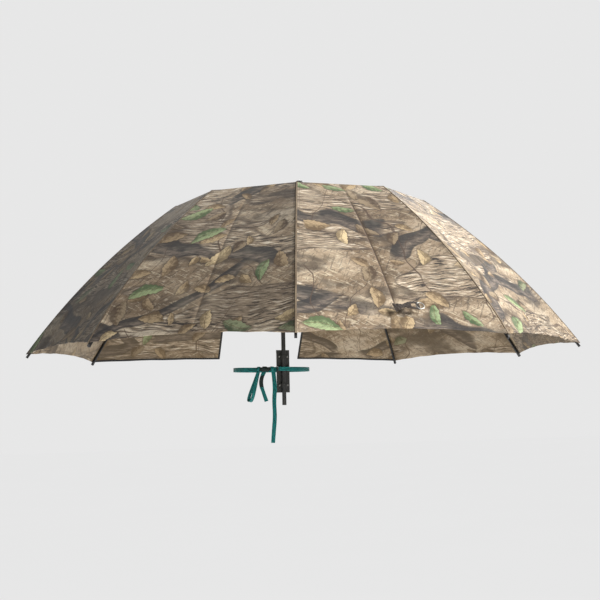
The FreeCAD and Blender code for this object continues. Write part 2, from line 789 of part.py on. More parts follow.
def draw_crank(sketch, bend, arm, back, top):
    """Up, a round bend, along the arm, a round bend, and up again."""
    r, high, out, end = (value_of(t) for t in (bend, arm, back, top))
    quarter = math.pi / 2
    first = Part.LineSegment(VECTOR(0, 0, 0), VECTOR(0, high - r, 0))
    low_bend = Part.ArcOfCircle(Part.Circle(VECTOR(-r, high - r, 0), UP, r), 0, quarter)
    level = Part.LineSegment(VECTOR(-r, high, 0), VECTOR(out + r, high, 0))
    high_bend = Part.ArcOfCircle(Part.Circle(VECTOR(out + r, high + r, 0), UP, r), 2 * quarter, 3 * quarter)
    last = Part.LineSegment(VECTOR(out, high + r, 0), VECTOR(out, end, 0))
    for piece in (first, low_bend, level, high_bend, last):
        sketch.addGeometry(piece, False)
    joints = ((0, 2, 1, 1), (1, 2, 2, 1), (2, 2, 3, 2), (3, 1, 4, 1))
    for joint in joints:
        sketch.addConstraint(Sketcher.Constraint("Tangent", *joint))
    sketch.addConstraint(Sketcher.Constraint("Coincident", 0, 1, -1, 1))
    sketch.addConstraint(Sketcher.Constraint("Vertical", 0))
    sketch.addConstraint(Sketcher.Constraint("Horizontal", 2))
    fix(sketch, "Radius", (1,), bend)
    fix(sketch, "Radius", (3,), bend)
    fix(sketch, "DistanceY", (-1, 1, 2, 1), arm)
    fix_point(sketch, 4, 2, back, top)


def make_bar_plug():
    """The plastic plug in the bar's lower end."""
    body = new_body("bar_plug")
    profile = new_sketch(body, "bar_plug_profile")
    spigot = "{bar_radius} - {bar_wall} - {fit_clearance}"
    corners = (
        ("0", "-{plug_flange}"),
        ("{bar_radius}", "-{plug_flange}"),
        ("{bar_radius}", "0"),
        (spigot, "0"),
        (spigot, "{plug_spigot}"),
        ("0", "{plug_spigot}"),
    )
    draw_polygon(profile, corners)
    revolve(body, "bar_plug_turned", profile)
    drop = size("hem_height") + size("bar_bottom")
    body.Placement = FreeCAD.Placement(VECTOR(0, -size("bar_distance"), drop), FreeCAD.Rotation())
    return body


def make_button():
    """The spring button that locks the bar in the shaft."""
    facing = FreeCAD.Rotation(VECTOR(1, 0, 0), 90)
    at = VECTOR(0, -size("button_inner_end"), size("button_height"))
    length = "{shaft_radius} + {button_proud} - {button_inner_end}"
    place = LOCAL * FreeCAD.Placement(at, facing)
    return primitive("Cylinder", "bar_button", place, Radius="{button_radius}", Height=length)


def make_catch():
    """The nose of the flat spring that props the open runner."""
    at = VECTOR(
        -size("catch_width") / 2,
        -size("shaft_radius") - size("catch_proud"),
        size("catch_top") - size("catch_height"),
    )
    place = LOCAL * FreeCAD.Placement(at, FreeCAD.Rotation())
    depth = "{shaft_radius} + {catch_proud} - {catch_inner_end}"
    return primitive("Box", "runner_catch", place, Length="{catch_width}", Width=depth, Height="{catch_height}")


# ---------------------------------------------------------------- bracket and webbing
def make_bracket():
    """The plate that bears on the trunk, with a slot for the webbing on each side and a pad at each end."""
    body = new_body("tree_bracket")
    plate = new_sketch(body, "tree_bracket_outline", "XY_Plane")
    wide = "{bracket_width} / 2"
    draw_box(plate, f"-{wide}", "-{bracket_front}", wide, "-{bracket_back}")
    base = body.newObject("PartDesign::Pad", "tree_bracket_plate")
    base.Profile = plate
    bind(base, "Length", "{bracket_above} + {bracket_below}")
    pads = new_sketch(body, "tree_bracket_pad_outline", "YZ_Plane")
    for low in ("0", "{bracket_above} + {bracket_below} - {bracket_pad_height}"):
        draw_box(
            pads,
            "-{bracket_back}",
            low,
            "-{trunk_radius} - {pad_to_trunk}",
            f"{low} + {{bracket_pad_height}}",
        )
    pad(body, "tree_bracket_pads", pads, "{bracket_width}")
    slots = new_sketch(body, "tree_bracket_slot_outline")
    half = "({strap_thickness} / 2 + {strap_gap})"
    for side in ("-", ""):
        middle = f"{side}{{strap_leg}}"
        draw_box(
            slots,
            f"{middle} - {half}",
            "{bracket_below} - {strap_slot_height} / 2",
            f"{middle} + {half}",
            "{bracket_below} + {strap_slot_height} / 2",
        )
    pocket(body, "tree_bracket_slots", slots, "3 * {bracket_front}")
    body.Placement = FreeCAD.Placement(VECTOR(0, 0, -size("bracket_below")), FreeCAD.Rotation())
    return body


def make_saddles():
    """Two pressed saddles that hold the bar to the bracket."""
    pieces = []
    high = size("bracket_above") - size("saddle_inset") - size("saddle_width")
    low = -size("bracket_below") + size("saddle_inset")
    for number, z in enumerate((high, low), start=1):
        at = FreeCAD.Placement(VECTOR(0, -size("bar_distance"), z), FreeCAD.Rotation())
        outer_text = "{bar_radius} + {fit_clearance} + {saddle_wall}"
        sleeve = primitive("Cylinder", f"saddle_sleeve_{number}", at, Radius=outer_text, Height="{saddle_width}")
        ear_at = VECTOR(-value_of(outer_text) - size("saddle_ear") / 2, -size("bracket_front") - size("saddle_wall"), z)
        ear = primitive(
            "Box",
            f"saddle_ears_{number}",
            FreeCAD.Placement(ear_at, FreeCAD.Rotation()),
            Length=f"2 * ({outer_text}) + {{saddle_ear}}",
            Width="{saddle_wall}",
            Height="{saddle_width}",
        )
        joined = boolean("MultiFuse", f"saddle_blank_{number}", sleeve, ear)
        bore_text = "{bar_radius} + {fit_clearance}"
        bore = primitive("Cylinder", f"saddle_bore_{number}", at, Radius=bore_text, Height="{saddle_width}")
        channel_at = VECTOR(-value_of(bore_text), -size("bar_distance"), z)
        channel = primitive(
            "Box",
            f"saddle_channel_{number}",
            FreeCAD.Placement(channel_at, FreeCAD.Rotation()),
            Length=f"2 * ({bore_text})",
            Width="{bracket_width}",
            Height="{saddle_width}",
        )
        back_at = VECTOR(-size("bracket_width"), -size("bracket_front"), z)
        back = primitive(
            "Box",
            f"saddle_back_{number}",
            FreeCAD.Placement(back_at, FreeCAD.Rotation()),
            Length="2 * {bracket_width}",
            Width="{bracket_width}",
            Height="{saddle_width}",
        )
        away = boolean("MultiFuse", f"saddle_away_{number}", bore, channel, back)
        pieces.append(boolean("Cut", f"saddle_{number}", joined, away))
    saddles = doc.addObject("Part::Compound", "bracket_saddles")
    saddles.Label = "bracket_saddles"
    saddles.Links = pieces
    return saddles


def make_strap_ring():
    """The webbing round the trunk: it goes through the bracket's slots and over the bar."""
    low = -size("strap_width") / 2
    flat = FreeCAD.Placement(VECTOR(0, 0, low), FreeCAD.Rotation())
    outer = primitive(
        "Cylinder", "strap_outer", flat, Radius="{trunk_radius} + {strap_thickness}", Height="{strap_width}"
    )
    inner = primitive("Cylinder", "strap_inner", flat, Radius="{trunk_radius}", Height="{strap_width}")
    ring = boolean("Cut", "strap_band", outer, inner)
    leg = size("strap_leg")
    thick = size("strap_thickness")
    window = primitive(
        "Box",
        "strap_window",
        FreeCAD.Placement(VECTOR(thick / 2 - leg, -2 * size("trunk_radius"), low), FreeCAD.Rotation()),
        Length="2 * {strap_leg} - {strap_thickness}",
        Width="2 * {trunk_radius}",
        Height="{strap_width}",
    )
    open_ring = boolean("Cut", "strap_open_band", ring, window)
    root = math.sqrt(size("trunk_radius") ** 2 - (leg - thick / 2) ** 2)
    front = size("strap_front") + thick
    legs = []
    for number, x in enumerate((-leg - thick / 2, leg - thick / 2), start=1):
        at = FreeCAD.Placement(VECTOR(x, -front, low), FreeCAD.Rotation())
        box = primitive("Box", f"strap_leg_{number}", at, Length="{strap_thickness}", Height="{strap_width}")
        box.Width = front - root
        legs.append(box)
    bridge = primitive(
        "Box",
        "strap_bridge",
        FreeCAD.Placement(VECTOR(-leg - thick / 2, -front, low), FreeCAD.Rotation()),
        Length="2 * {strap_leg} + {strap_thickness}",
        Width="{strap_thickness}",
        Height="{strap_width}",
    )
    return boolean("MultiFuse", "strap_ring", open_ring, *legs, bridge)


def on_trunk(angle, height):
    """A frame on the webbing's outer face: X outward from the trunk, Y along it, Z up."""
    radius = size("trunk_radius") + size("strap_thickness") + size("strap_gap")
    turn = FreeCAD.Rotation(UP, angle - 90)
    return FreeCAD.Placement(turn.multVec(VECTOR(radius, 0, height)), turn)


def make_knot():
    """The knot of the bow, beside the bracket."""
    place = on_trunk(size("knot_angle"), 0)
    at = FreeCAD.Placement(VECTOR(0, -size("knot_length") / 2, -size("knot_height") / 2), FreeCAD.Rotation())
    box = primitive(
        "Box",
        "strap_knot_blank",
        place * at,
        Length="{knot_depth}",
        Width="{knot_length}",
        Height="{knot_height}",
    )
    knot = doc.addObject("Part::Fillet", "strap_knot")
    knot.Label = "strap_knot"
    knot.Base = box
    doc.recompute()
    radius = size("knot_height") * 0.2
    knot.Edges = [(n, radius, radius) for n in range(1, len(box.Shape.Edges) + 1)]
    return knot


def make_loop():
    """The bow's loop: a teardrop of webbing that hangs from the knot, edge-on to the trunk."""
    body = new_body("strap_loop")
    outline = new_sketch(body, "strap_loop_outline", "YZ_Plane")
    for radius in ("{loop_radius}", "{loop_radius} - {tail_thickness}"):
        draw_teardrop(outline, radius)
    strip = body.newObject("PartDesign::Pad", "strap_loop_strip")
    strip.Profile = outline
    bind(strip, "Length", "{knot_depth}")
    lean = FreeCAD.Placement(VECTOR(), FreeCAD.Rotation(VECTOR(1, 0, 0), -size("loop_lean")))
    body.Placement = on_trunk(size("loop_angle"), -size("knot_height") / 2 - size("strap_gap")) * lean
    return body


def draw_teardrop(sketch, radius):
    """Two straight sides from a point near the origin, tangent to a round end below."""
    r, drop = value_of(radius), size("loop_length") - size("loop_radius")
    point = -(size("loop_radius") - r) * drop / size("loop_radius")
    reach = drop + point
    half = math.acos(r / reach)
    base = VECTOR(0, -drop, 0)
    tip = VECTOR(0, point, 0)
    left_angle, right_angle = math.pi / 2 + half, math.pi / 2 - half
    left = base + VECTOR(math.cos(left_angle), math.sin(left_angle), 0) * r
    right = base + VECTOR(math.cos(right_angle), math.sin(right_angle), 0) * r
    first = sketch.addGeometry(Part.LineSegment(tip, left), False)
    arc = sketch.addGeometry(
        Part.ArcOfCircle(Part.Circle(base, UP, r), left_angle, right_angle + 2 * math.pi), False
    )
    last = sketch.addGeometry(Part.LineSegment(right, tip), False)
    sketch.addConstraint(Sketcher.Constraint("Tangent", first, 2, arc, 1))
    sketch.addConstraint(Sketcher.Constraint("Tangent", arc, 2, last, 1))
    sketch.addConstraint(Sketcher.Constraint("Coincident", last, 2, first, 1))
    fix(sketch, "Radius", (arc,), radius)
    fix_point(sketch, arc, 3, "0", "{loop_radius} - {loop_length}")
    tip_text = f"-({{loop_radius}} - ({radius})) * ({{loop_length}} - {{loop_radius}}) / {{loop_radius}}"
    fix_point(sketch, first, 1, "0", tip_text)


def make_tail(name, length, angle):
    """An end of the webbing that hangs from the knot along the trunk, bowed a little outward."""
    body = new_body(name)
    outline = new_sketch(body, f"{name}_outline")
    bow = f"({{{length}}} ^ 2 / (8 * {{tail_sag}}) + {{tail_sag}} / 2)"
    half = f"asin({{{length}}} / 2 / {bow})"
    draw_tail(outline, bow, half, f"{{{length}}}")
    pad(body, f"{name}_strip", outline, "{strap_width}")
    top = -size("knot_height") / 2 - size("strap_gap")
    body.Placement = on_trunk(size(angle), top)
    return body


def draw_tail(sketch, bow, half, length):
    """A thin curved band, bulging outward, from near the origin straight down."""
    r, angle, long = (value_of(t) for t in (bow, half, length))
    shift = size("tail_thickness")
    centre = VECTOR(size("tail_sag") - r + shift, -long / 2, 0)
    edges = []
    for extra in (0, 1):
        radius = r + extra * shift
        ends = radians(angle)
        arc = Part.ArcOfCircle(Part.Circle(centre, UP, radius), -ends, ends)
        index = sketch.addGeometry(arc, False)
        edges.append((index, arc))
        fix_point(sketch, index, 3, f"{{tail_sag}} + {{tail_thickness}} - {bow}", f"-{length} / 2")
        fix(sketch, "Radius", (index,), f"{bow} + {extra} * {{tail_thickness}}")
        reach = f"({bow} + {extra} * {{tail_thickness}}) * sin({half})"
        fix(sketch, "DistanceY", (-1, 1, index, 1), f"-{length} / 2 - {reach}")
        fix(sketch, "DistanceY", (-1, 1, index, 2), f"-{length} / 2 + {reach}")
    (inner, inner_arc), (outer, outer_arc) = edges
    for end, point in ((1, "StartPoint"), (2, "EndPoint")):
        line = sketch.addGeometry(Part.LineSegment(getattr(inner_arc, point), getattr(outer_arc, point)), False)
        sketch.addConstraint(Sketcher.Constraint("Coincident", line, 1, inner, end))
        sketch.addConstraint(Sketcher.Constraint("Coincident", line, 2, outer, end))


# ---------------------------------------------------------------- the whole
def build():
    nodes = [make_crown_hub(), make_crown_wire(), make_finial(), make_shaft(), make_bar(), make_bar_plug()]
    nodes += [make_runner(), make_button(), make_catch(), make_bracket(), make_saddles(), make_strap_ring()]
    nodes += [make_knot(), make_loop()]
    nodes.append(make_tail("strap_short_tail", "short_tail_length", "short_tail_angle"))
    nodes.append(make_tail("strap_long_tail", "long_tail_length", "long_tail_angle"))
    for index in range(1, int(size("rib_count")) + 1):
        nodes += [make_inner_rib(index), make_outer_rib(index), make_stretcher(index)]
        nodes.append(make_panel(f"canopy_crown_{index}", crown_half, index))
        nodes.append(make_panel(f"canopy_skirt_{index}", skirt_half, index))
    return nodes + make_tie()


def write(nodes):
    doc.recompute()
    failed = [o.Label for o in doc.Objects if "Invalid" in o.State or "Error" in o.State]
    failed += [n.Label for n in nodes if n.Shape.isNull() or not n.Shape.isValid()]
    if failed:
        sys.exit(f"these failed: {failed}")
    os.makedirs("parts", exist_ok=True)
    for node in nodes:
        node.Shape.exportStep(f"parts/{node.Label}.step")
    print(f"{len(nodes)} nodes written")


write(build())
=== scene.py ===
"""How the tree umbrella looks: fabric, seams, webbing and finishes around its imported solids.

Ribs count from 1, left of the slot, round the front to RIBS.
"""

from math import acos, asin, atan, atan2, copysign, cos, degrees, exp, hypot, pi, radians, sin, tan, tau

import bmesh
import bpy
from mathutils import Matrix, Vector


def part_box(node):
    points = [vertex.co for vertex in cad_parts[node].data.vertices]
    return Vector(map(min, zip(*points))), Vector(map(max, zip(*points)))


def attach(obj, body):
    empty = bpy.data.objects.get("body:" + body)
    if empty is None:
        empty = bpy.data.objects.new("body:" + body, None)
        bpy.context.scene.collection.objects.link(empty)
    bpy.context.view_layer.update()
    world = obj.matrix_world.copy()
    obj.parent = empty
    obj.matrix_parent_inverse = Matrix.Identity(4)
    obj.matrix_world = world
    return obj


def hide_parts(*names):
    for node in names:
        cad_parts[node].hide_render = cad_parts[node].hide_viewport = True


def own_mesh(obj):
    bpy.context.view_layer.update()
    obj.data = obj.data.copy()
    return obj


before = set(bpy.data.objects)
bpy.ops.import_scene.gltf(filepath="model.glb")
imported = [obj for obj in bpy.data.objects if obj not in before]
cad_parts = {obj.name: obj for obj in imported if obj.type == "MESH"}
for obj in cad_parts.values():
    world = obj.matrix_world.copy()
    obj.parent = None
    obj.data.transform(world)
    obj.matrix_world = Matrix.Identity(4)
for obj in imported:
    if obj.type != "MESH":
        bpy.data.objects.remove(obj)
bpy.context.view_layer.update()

# ---- the canopy's own measures
# RADIUS is to the hem's corners and KNUCKLE to the ribs' knuckles, from the umbrella's axis through CENTRE.
# Below the knuckles a rib is an arc of radius BOW round (BOW_R, BOW_Z); its slope runs from FIRST to LAST.
RIBS = 8
PITCH = radians(39)
CENTRE = Vector((0, -0.300, 0.048))
RADIUS, KNUCKLE, DROP, RISE = 0.724, 0.342, 0.387, 0.063
BEND = radians(18.5)
CHORD_SLOPE = atan2(DROP, RADIUS - KNUCKLE)
BOW = hypot(RADIUS - KNUCKLE, DROP) / (2 * sin(BEND / 2))
BOW_R = (RADIUS + KNUCKLE) / 2 - BOW * cos(BEND / 2) * sin(CHORD_SLOPE)
BOW_Z = DROP / 2 - BOW * cos(BEND / 2) * cos(CHORD_SLOPE)
FIRST, LAST = CHORD_SLOPE - BEND / 2, CHORD_SLOPE + BEND / 2
CROWN_SLOPE = atan2(RISE, KNUCKLE)
REAR = pi - (RIBS - 1) / 2 * PITCH
# The hem rises by SCALLOP between ribs, and the cloth's corners run on past it over the rib tips.
SCALLOP, CORNER_REACH = 0.004, 0.011
SLOT_HALF, SLOT_X, SLOT_CORNER, SLOT_CORNER_CLEARANCE = 0.140, 0.015, 0.060, 0.016
SLOT_END = KNUCKLE * cos(REAR) - SLOT_CORNER - SLOT_CORNER_CLEARANCE
# The slot's left edge hangs in by SLOT_SLACK, from SLACK_START of the way down and over SLACK_RUN.
SLOT_SLACK, SLACK_START, SLACK_RUN = 0.020, 0.48, 0.36
# The cloth's top face from the solid's, its thickness, where it starts and how wide its hem is.
CLOTH_TOP, CLOTH = -0.0005, 0.0009
FABRIC_START, HEM_FOLD = 0.0112, 0.0112
CROWN_LENGTH = KNUCKLE / cos(CROWN_SLOPE)
TIE_ABOVE_HEM = 0.055


def azimuth(i):
    return (i - (RIBS + 1) / 2) * PITCH


def outward(angle, r, z):
    return CENTRE + Vector((r * sin(angle), -r * cos(angle), z))


def across(i):
    """The direction along the hem at rib i, towards the next rib."""
    return Vector((cos(azimuth(i)), sin(azimuth(i)), 0))


def crown_z(r):
    return DROP + RISE * (1 - r / KNUCKLE)


def skirt(slope):
    return BOW_R + BOW * sin(slope), BOW_Z + BOW * cos(slope)


def slope_at(z):
    return acos((z - BOW_Z) / BOW)


def gather(piece):
    """Gives the piece its own copy of its mesh."""
    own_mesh(piece)


# ---- meshes
def finish_mesh(name, bm, materials, sharp=42):
    mesh = bpy.data.meshes.new(name)
    bm.normal_update()
    bm.to_mesh(mesh)
    bm.free()
    for material in materials:
        mesh.materials.append(material)
    mesh.polygons.foreach_set("use_smooth", [True] * len(mesh.polygons))
    mesh.set_sharp_from_angle(angle=radians(sharp))
    piece = bpy.data.objects.new(name, mesh)
    bpy.context.scene.collection.objects.link(piece)
    return piece


def tangents_of(points, closed=False):
    count, out = len(points), []
    for k in range(count):
        before = points[(k - 1) % count] if closed else points[max(k - 1, 0)]
        after = points[(k + 1) % count] if closed else points[min(k + 1, count - 1)]
        out.append((after - before).normalized())
    return out


def sweep(name, points, normals, profile, material, closed=False, flip=1, sharp=50):
    """A strip along points whose section is profile, in (side, normal) pairs.

    profile may be a function of the step.
    """
    bm = bmesh.new()
    cloth = bm.loops.layers.uv.new("cloth")
    at = [0.0]
    for a, b in zip(points, points[1:]):
        at.append(at[-1] + (b - a).length)
    rings = []
    for k, (p, n, t) in enumerate(zip(points, normals, tangents_of(points, closed))):
        n = (n - t * n.dot(t)).normalized()
        side = n.cross(t) * flip
        section = profile(k) if callable(profile) else profile
        rings.append(([bm.verts.new(p + side * a + n * b) for a, b in section], section, at[k]))
    whole = list(rings)
    if closed:
        whole.append((rings[0][0], rings[0][1], at[-1] + (points[0] - points[-1]).length))
    for (va, sa, la), (vb, sb, lb) in zip(whole, whole[1:]):
        count = len(va)
        for j in range(count):
            m = (j + 1) % count
            face = bm.faces.new((va[j], va[m], vb[m], vb[j]))
            uvs = ((sa[j][0], la), (sa[m][0], la), (sb[m][0], lb), (sb[j][0], lb))
            for loop, uv in zip(face.loops, uvs):
                loop[cloth].uv = uv
    if not closed:
        for ring in (rings[0], rings[-1]):
            face = bm.faces.new(ring[0])
            for loop, (a, _) in zip(face.loops, ring[1]):
                loop[cloth].uv = (a, ring[2])
    bmesh.ops.recalc_face_normals(bm, faces=bm.faces)
    return finish_mesh(name, bm, [material], sharp)


def mirrored(upper):
    """A closed outline from its upper half, as (side, normal) pairs."""
    return upper + [(x, -y) for x, y in reversed(upper)]


def band_section(width, thick, edge=0.25):
    """A flat band with softened edges."""
    h, t = width / 2, thick / 2
    outline = mirrored([
        (-h, t * edge), (-h + t, t), (-h / 2, t * 0.93), (0, t * 0.9),
        (h / 2, t * 0.93), (h - t, t), (h, t * edge),
    ])
    return outline[-1:] + outline[:-1]


def smooth_route(controls, steps=14):
    """Points along the NURBS line that has those control points."""
    curve = bpy.data.curves.new("route", "CURVE")
    curve.dimensions = "3D"
    spline = curve.splines.new("NURBS")
    spline.points.add(len(controls) - 1)
    for point, co in zip(spline.points, controls):
        point.co = (*co, 1)
    spline.order_u = 3
    spline.use_endpoint_u = True
    spline.resolution_u = steps
    holder = bpy.data.objects.new("route", curve)
    mesh = bpy.data.meshes.new_from_object(holder)
    points = [v.co.copy() for v in mesh.vertices]
    bpy.data.objects.remove(holder)
    bpy.data.curves.remove(curve)
    bpy.data.meshes.remove(mesh)
    return points


# ---- materials
def rgb(r, g, b):
    """A display colour, 0 to 255, as the linear colour that a shader wants."""
    line = [(c / 255 / 12.92 if c <= 10 else ((c / 255 + 0.055) / 1.055) ** 2.4) for c in (r, g, b)]
    return (*line, 1)


class Graph:
    """Writes the nodes of a new material, or of another kind of owner, as plain calls."""

    def __init__(self, name, kind="materials"):
        self.owner = getattr(bpy.data, kind).new(name)
        self.owner.use_nodes = True
        self.tree = self.owner.node_tree
        self.tree.nodes.clear()

    def put(self, socket, value):
        if isinstance(value, bpy.types.NodeSocket):
            self.tree.links.new(value, socket)
        else:
            socket.default_value = value

    def node(self, kind, inputs=None, **settings):
        made = self.tree.nodes.new(f"ShaderNode{kind}")
        for key, value in settings.items():
            setattr(made, key, value)
        for key, value in (inputs or {}).items():
            self.put(made.inputs[key], value)
        return made

    def uv(self, name):
        return self.node("UVMap", uv_map=name).outputs["UV"]

    def place(self):
        return self.node("TexCoord").outputs["Object"]

    def math(self, operation, a, b=0.0, c=0.0):
        return self.node("Math", {0: a, 1: b, 2: c}, operation=operation).outputs[0]

    def add(self, a, b):
        return self.math("ADD", a, b)

    def sub(self, a, b):
        return self.math("SUBTRACT", a, b)

    def mul(self, a, b):
        return self.math("MULTIPLY", a, b)

    def absolute(self, a):
        return self.math("ABSOLUTE", a)

    def wave(self, at, length):
        return self.math("SINE", self.mul(at, 2 * pi / length))

    def vector(self, operation, a, b=(0, 0, 0)):
        return self.node("VectorMath", {0: a, 1: b}, operation=operation).outputs[0]

    def scaled(self, v, factors):
        return self.vector("MULTIPLY", v, factors)

    def moved(self, v, by):
        return self.vector("ADD", v, by)

    def point(self, x, y, z=0.0):
        return self.node("CombineXYZ", {0: x, 1: y, 2: z}).outputs[0]

    def xyz(self, v):
        return self.node("SeparateXYZ", {0: v}).outputs

    def noise(self, v, scale, detail=3.0, rough=0.55, distortion=0.0, output="Fac"):
        inputs = {"Vector": v, "Scale": scale, "Detail": detail, "Roughness": rough}
        return self.node("TexNoise", {**inputs, "Distortion": distortion}).outputs[output]

    def step(self, value, low, high):
        """0 at low and 1 at high, with a smooth rise between them."""
        inputs = {"Value": value, "From Min": low, "From Max": high}
        return self.node("MapRange", inputs, interpolation_type="SMOOTHSTEP").outputs["Result"]

    def spread(self, value, low, high, start=0.0, end=1.0):
        """Low at the value start and high at the value end."""
        inputs = {"Value": value, "From Min": start, "From Max": end, "To Min": low, "To Max": high}
        return self.node("MapRange", inputs).outputs["Result"]

    def mix(self, factor, a, b, blend="MIX"):
        made = self.node("Mix", data_type="RGBA", blend_type=blend)
        for index, value in ((0, factor), (6, a), (7, b)):
            self.put(made.inputs[index], value)
        return made.outputs[2]

    def lay(self, top, mask, share, blend="MIX"):
        """Lays top on the colour so far where the mask is 1, as strong as share says."""
        self.colour = self.mix(self.mul(mask, share), self.colour, top, blend)

    def ramp(self, factor, stops, interpolation="LINEAR"):
        """Colours along a factor, from (position, red, green, blue) stops."""
        made = self.node("ValToRGB", {0: factor})
        made.color_ramp.interpolation = interpolation
        elements = made.color_ramp.elements
        while len(elements) < len(stops):
            elements.new(0.5)
        for element, (position, *colour) in zip(elements, stops):
            element.position = position
            element.color = rgb(*colour)
        return made.outputs[0]

    def bump(self, height, strength, distance, normal=None):
        inputs = {"Height": height, "Strength": strength, "Distance": distance}
        if normal is not None:
            inputs["Normal"] = normal
        return self.node("Bump", inputs).outputs["Normal"]

    def surface(self, roughness, normal, **fixed):
        inputs = {"Base Color": self.colour, "Roughness": roughness, "Normal": normal}
        shader = self.node("BsdfPrincipled", inputs)
        for key, value in fixed.items():
            shader.inputs[key.replace("_", " ")].default_value = value
        self.node("OutputMaterial", {"Surface": shader.outputs[0]})
        return self.owner


def leaf_layer(g, p, seed, cells, length, width, share, palette):
    """Scattered leaves of one kind: their mask, colour and the soft shade round them."""
    jitter = g.vector("SUBTRACT", g.noise(p, 26, 2, output="Color"), (0.5, 0.5, 0.5))
    moved = g.moved(g.moved(p, (seed, seed * 0.37, 0)), g.scaled(jitter, (0.016, 0.016, 0)))
    inputs = {"Vector": moved, "Scale": cells, "Randomness": 0.9}
    cell = g.node("TexVoronoi", inputs, voronoi_dimensions="2D")
    chance = g.xyz(cell.outputs["Color"])
    local = g.vector("SUBTRACT", moved, cell.outputs["Position"])
    inputs = {"Vector": local, "Angle": g.mul(chance[0], 6.283)}
    turned = g.node("VectorRotate", inputs, rotation_type="Z_AXIS")
    along, aside, _ = g.xyz(turned.outputs[0])
    bend = g.mul(g.math("POWER", g.math("DIVIDE", along, length), 2.0), width * 0.55)
    aside = g.sub(aside, bend)
    size = g.add(0.7, g.mul(chance[1], 0.45))
    t = g.math("DIVIDE", along, g.mul(size, length))
    lobes = g.add(1.0, g.mul(g.wave(along, length * 0.3), 0.06))
    half = g.mul(g.mul(g.sub(1.0, g.mul(t, t)), g.mul(size, width)), lobes)
    edge = g.sub(half, g.absolute(aside))
    clump = g.noise(g.moved(cell.outputs["Position"], (seed, 0, 0)), 3.1, 1)
    shown = g.math("LESS_THAN", chance[2], g.mul(g.step(clump, 0.40, 0.60), share * 1.7))
    mask = g.mul(g.step(edge, 0.0, 0.0013), shown)
    shade = g.mul(g.step(edge, -0.006, 0.001), shown)
    colour = g.ramp(chance[1], palette, "CONSTANT")
    mottle = g.noise(p, 85, 3, 0.6)
    light = g.step(g.add(aside, g.mul(g.sub(mottle, 0.5), width * 3.2)), -width * 0.6, width * 0.6)
    colour = g.mix(light, g.mix(0.66, colour, rgb(56, 42, 30)), g.mix(0.26, colour, rgb(232, 214, 180)))
    rib_line = g.step(g.absolute(aside), 0.0012, 0.0004)
    veins = g.math("PINGPONG", g.sub(along, g.mul(g.absolute(aside), 0.8)), 0.0042)
    veins = g.mul(g.step(veins, 0.0009, 0.0002), 0.4)
    colour = g.mix(g.math("MAXIMUM", g.mul(rib_line, 0.7), veins), colour, rgb(92, 70, 44))
    return mask, colour, shade


def limb_layer(g, p, seed, angle, period, half, warp, share, soft):
    """Branches that lean one way: their mask and how far across each the point is, from -1 to 1."""
    wander = g.sub(g.noise(g.moved(p, (seed, 0, seed)), 3.4, 2), 0.5)
    fine = g.sub(g.noise(g.moved(p, (0, seed, 0)), 22, 2), 0.5)
    x, y, _ = g.xyz(p)
    line = g.add(g.mul(x, sin(angle)), g.mul(y, cos(angle)))
    line = g.add(g.add(line, g.mul(wander, warp)), g.add(g.mul(fine, warp * 0.03), seed))
    number = g.math("FLOOR", g.math("DIVIDE", line, period))
    offset = g.sub(g.sub(line, g.mul(number, period)), period / 2)
    breaks = g.step(g.noise(g.moved(p, (seed * 3, seed, 0)), 4.6, 1), 0.40, 0.47)
    chance = g.node("TexWhiteNoise", {"W": number}, noise_dimensions="1D").outputs["Value"]
    shown = g.math("LESS_THAN", chance, share)
    width = g.mul(g.add(0.6, g.mul(breaks, 0.5)), half)
    mask = g.mul(g.step(g.sub(width, g.absolute(offset)), 0.0, soft), g.mul(shown, breaks))
    return mask, g.math("DIVIDE", offset, half)


def strokes(g, p, seed, angle, fine, low, high):
    """Short straw-like marks that lie along one direction."""
    x, y, _ = g.xyz(p)
    c, d = cos(angle), sin(angle)
    along = g.add(g.mul(x, c), g.mul(y, d))
    aside = g.sub(g.mul(y, c), g.mul(x, d))
    at = g.point(g.mul(along, fine * 0.13), g.mul(aside, fine), seed)
    return g.step(g.noise(at, 1.0, 3, 0.62, 0.5), low, high)


# Seed, angle, marks per metre, where the marks begin and are full, and colour.
STRAWS = (
    (4.7, 34, 210, 0.56, 0.60, 66, 54, 42),
    (8.1, -27, 190, 0.585, 0.615, 216, 203, 176),
    (1.3, 62, 230, 0.59, 0.62, 48, 38, 30),
)
# Seed, angle, spacing, half width and share shown; for limbs also how soft the edge is.
LIMBS = ((0.137, 16, 0.31, 0.026, 0.85, 0.005), (0.71, -38, 0.30, 0.018, 0.85, 0.003))
TWIGS = ((0.41, -58, 0.13, 0.0013, 0.6), (0.83, 66, 0.15, 0.0019, 0.6), (1.27, 9, 0.17, 0.0024, 0.5))
DRY = (
    (0.0, 170, 144, 104), (0.22, 128, 102, 68), (0.45, 200, 177, 134),
    (0.6, 146, 120, 82), (0.8, 96, 75, 52),
)
FRESH = ((0.0, 72, 128, 74), (0.4, 54, 100, 60), (0.7, 104, 146, 92))
# Seed, cells per metre, half length, half width, share shown and colours.
LEAVES = (
    (2.3, 9.0, 0.046, 0.022, 0.32, DRY),
    (9.4, 13.5, 0.032, 0.016, 0.34, DRY),
    (14.6, 16.0, 0.026, 0.013, 0.26, DRY),
    (5.9, 10.5, 0.042, 0.017, 0.26, FRESH),
)


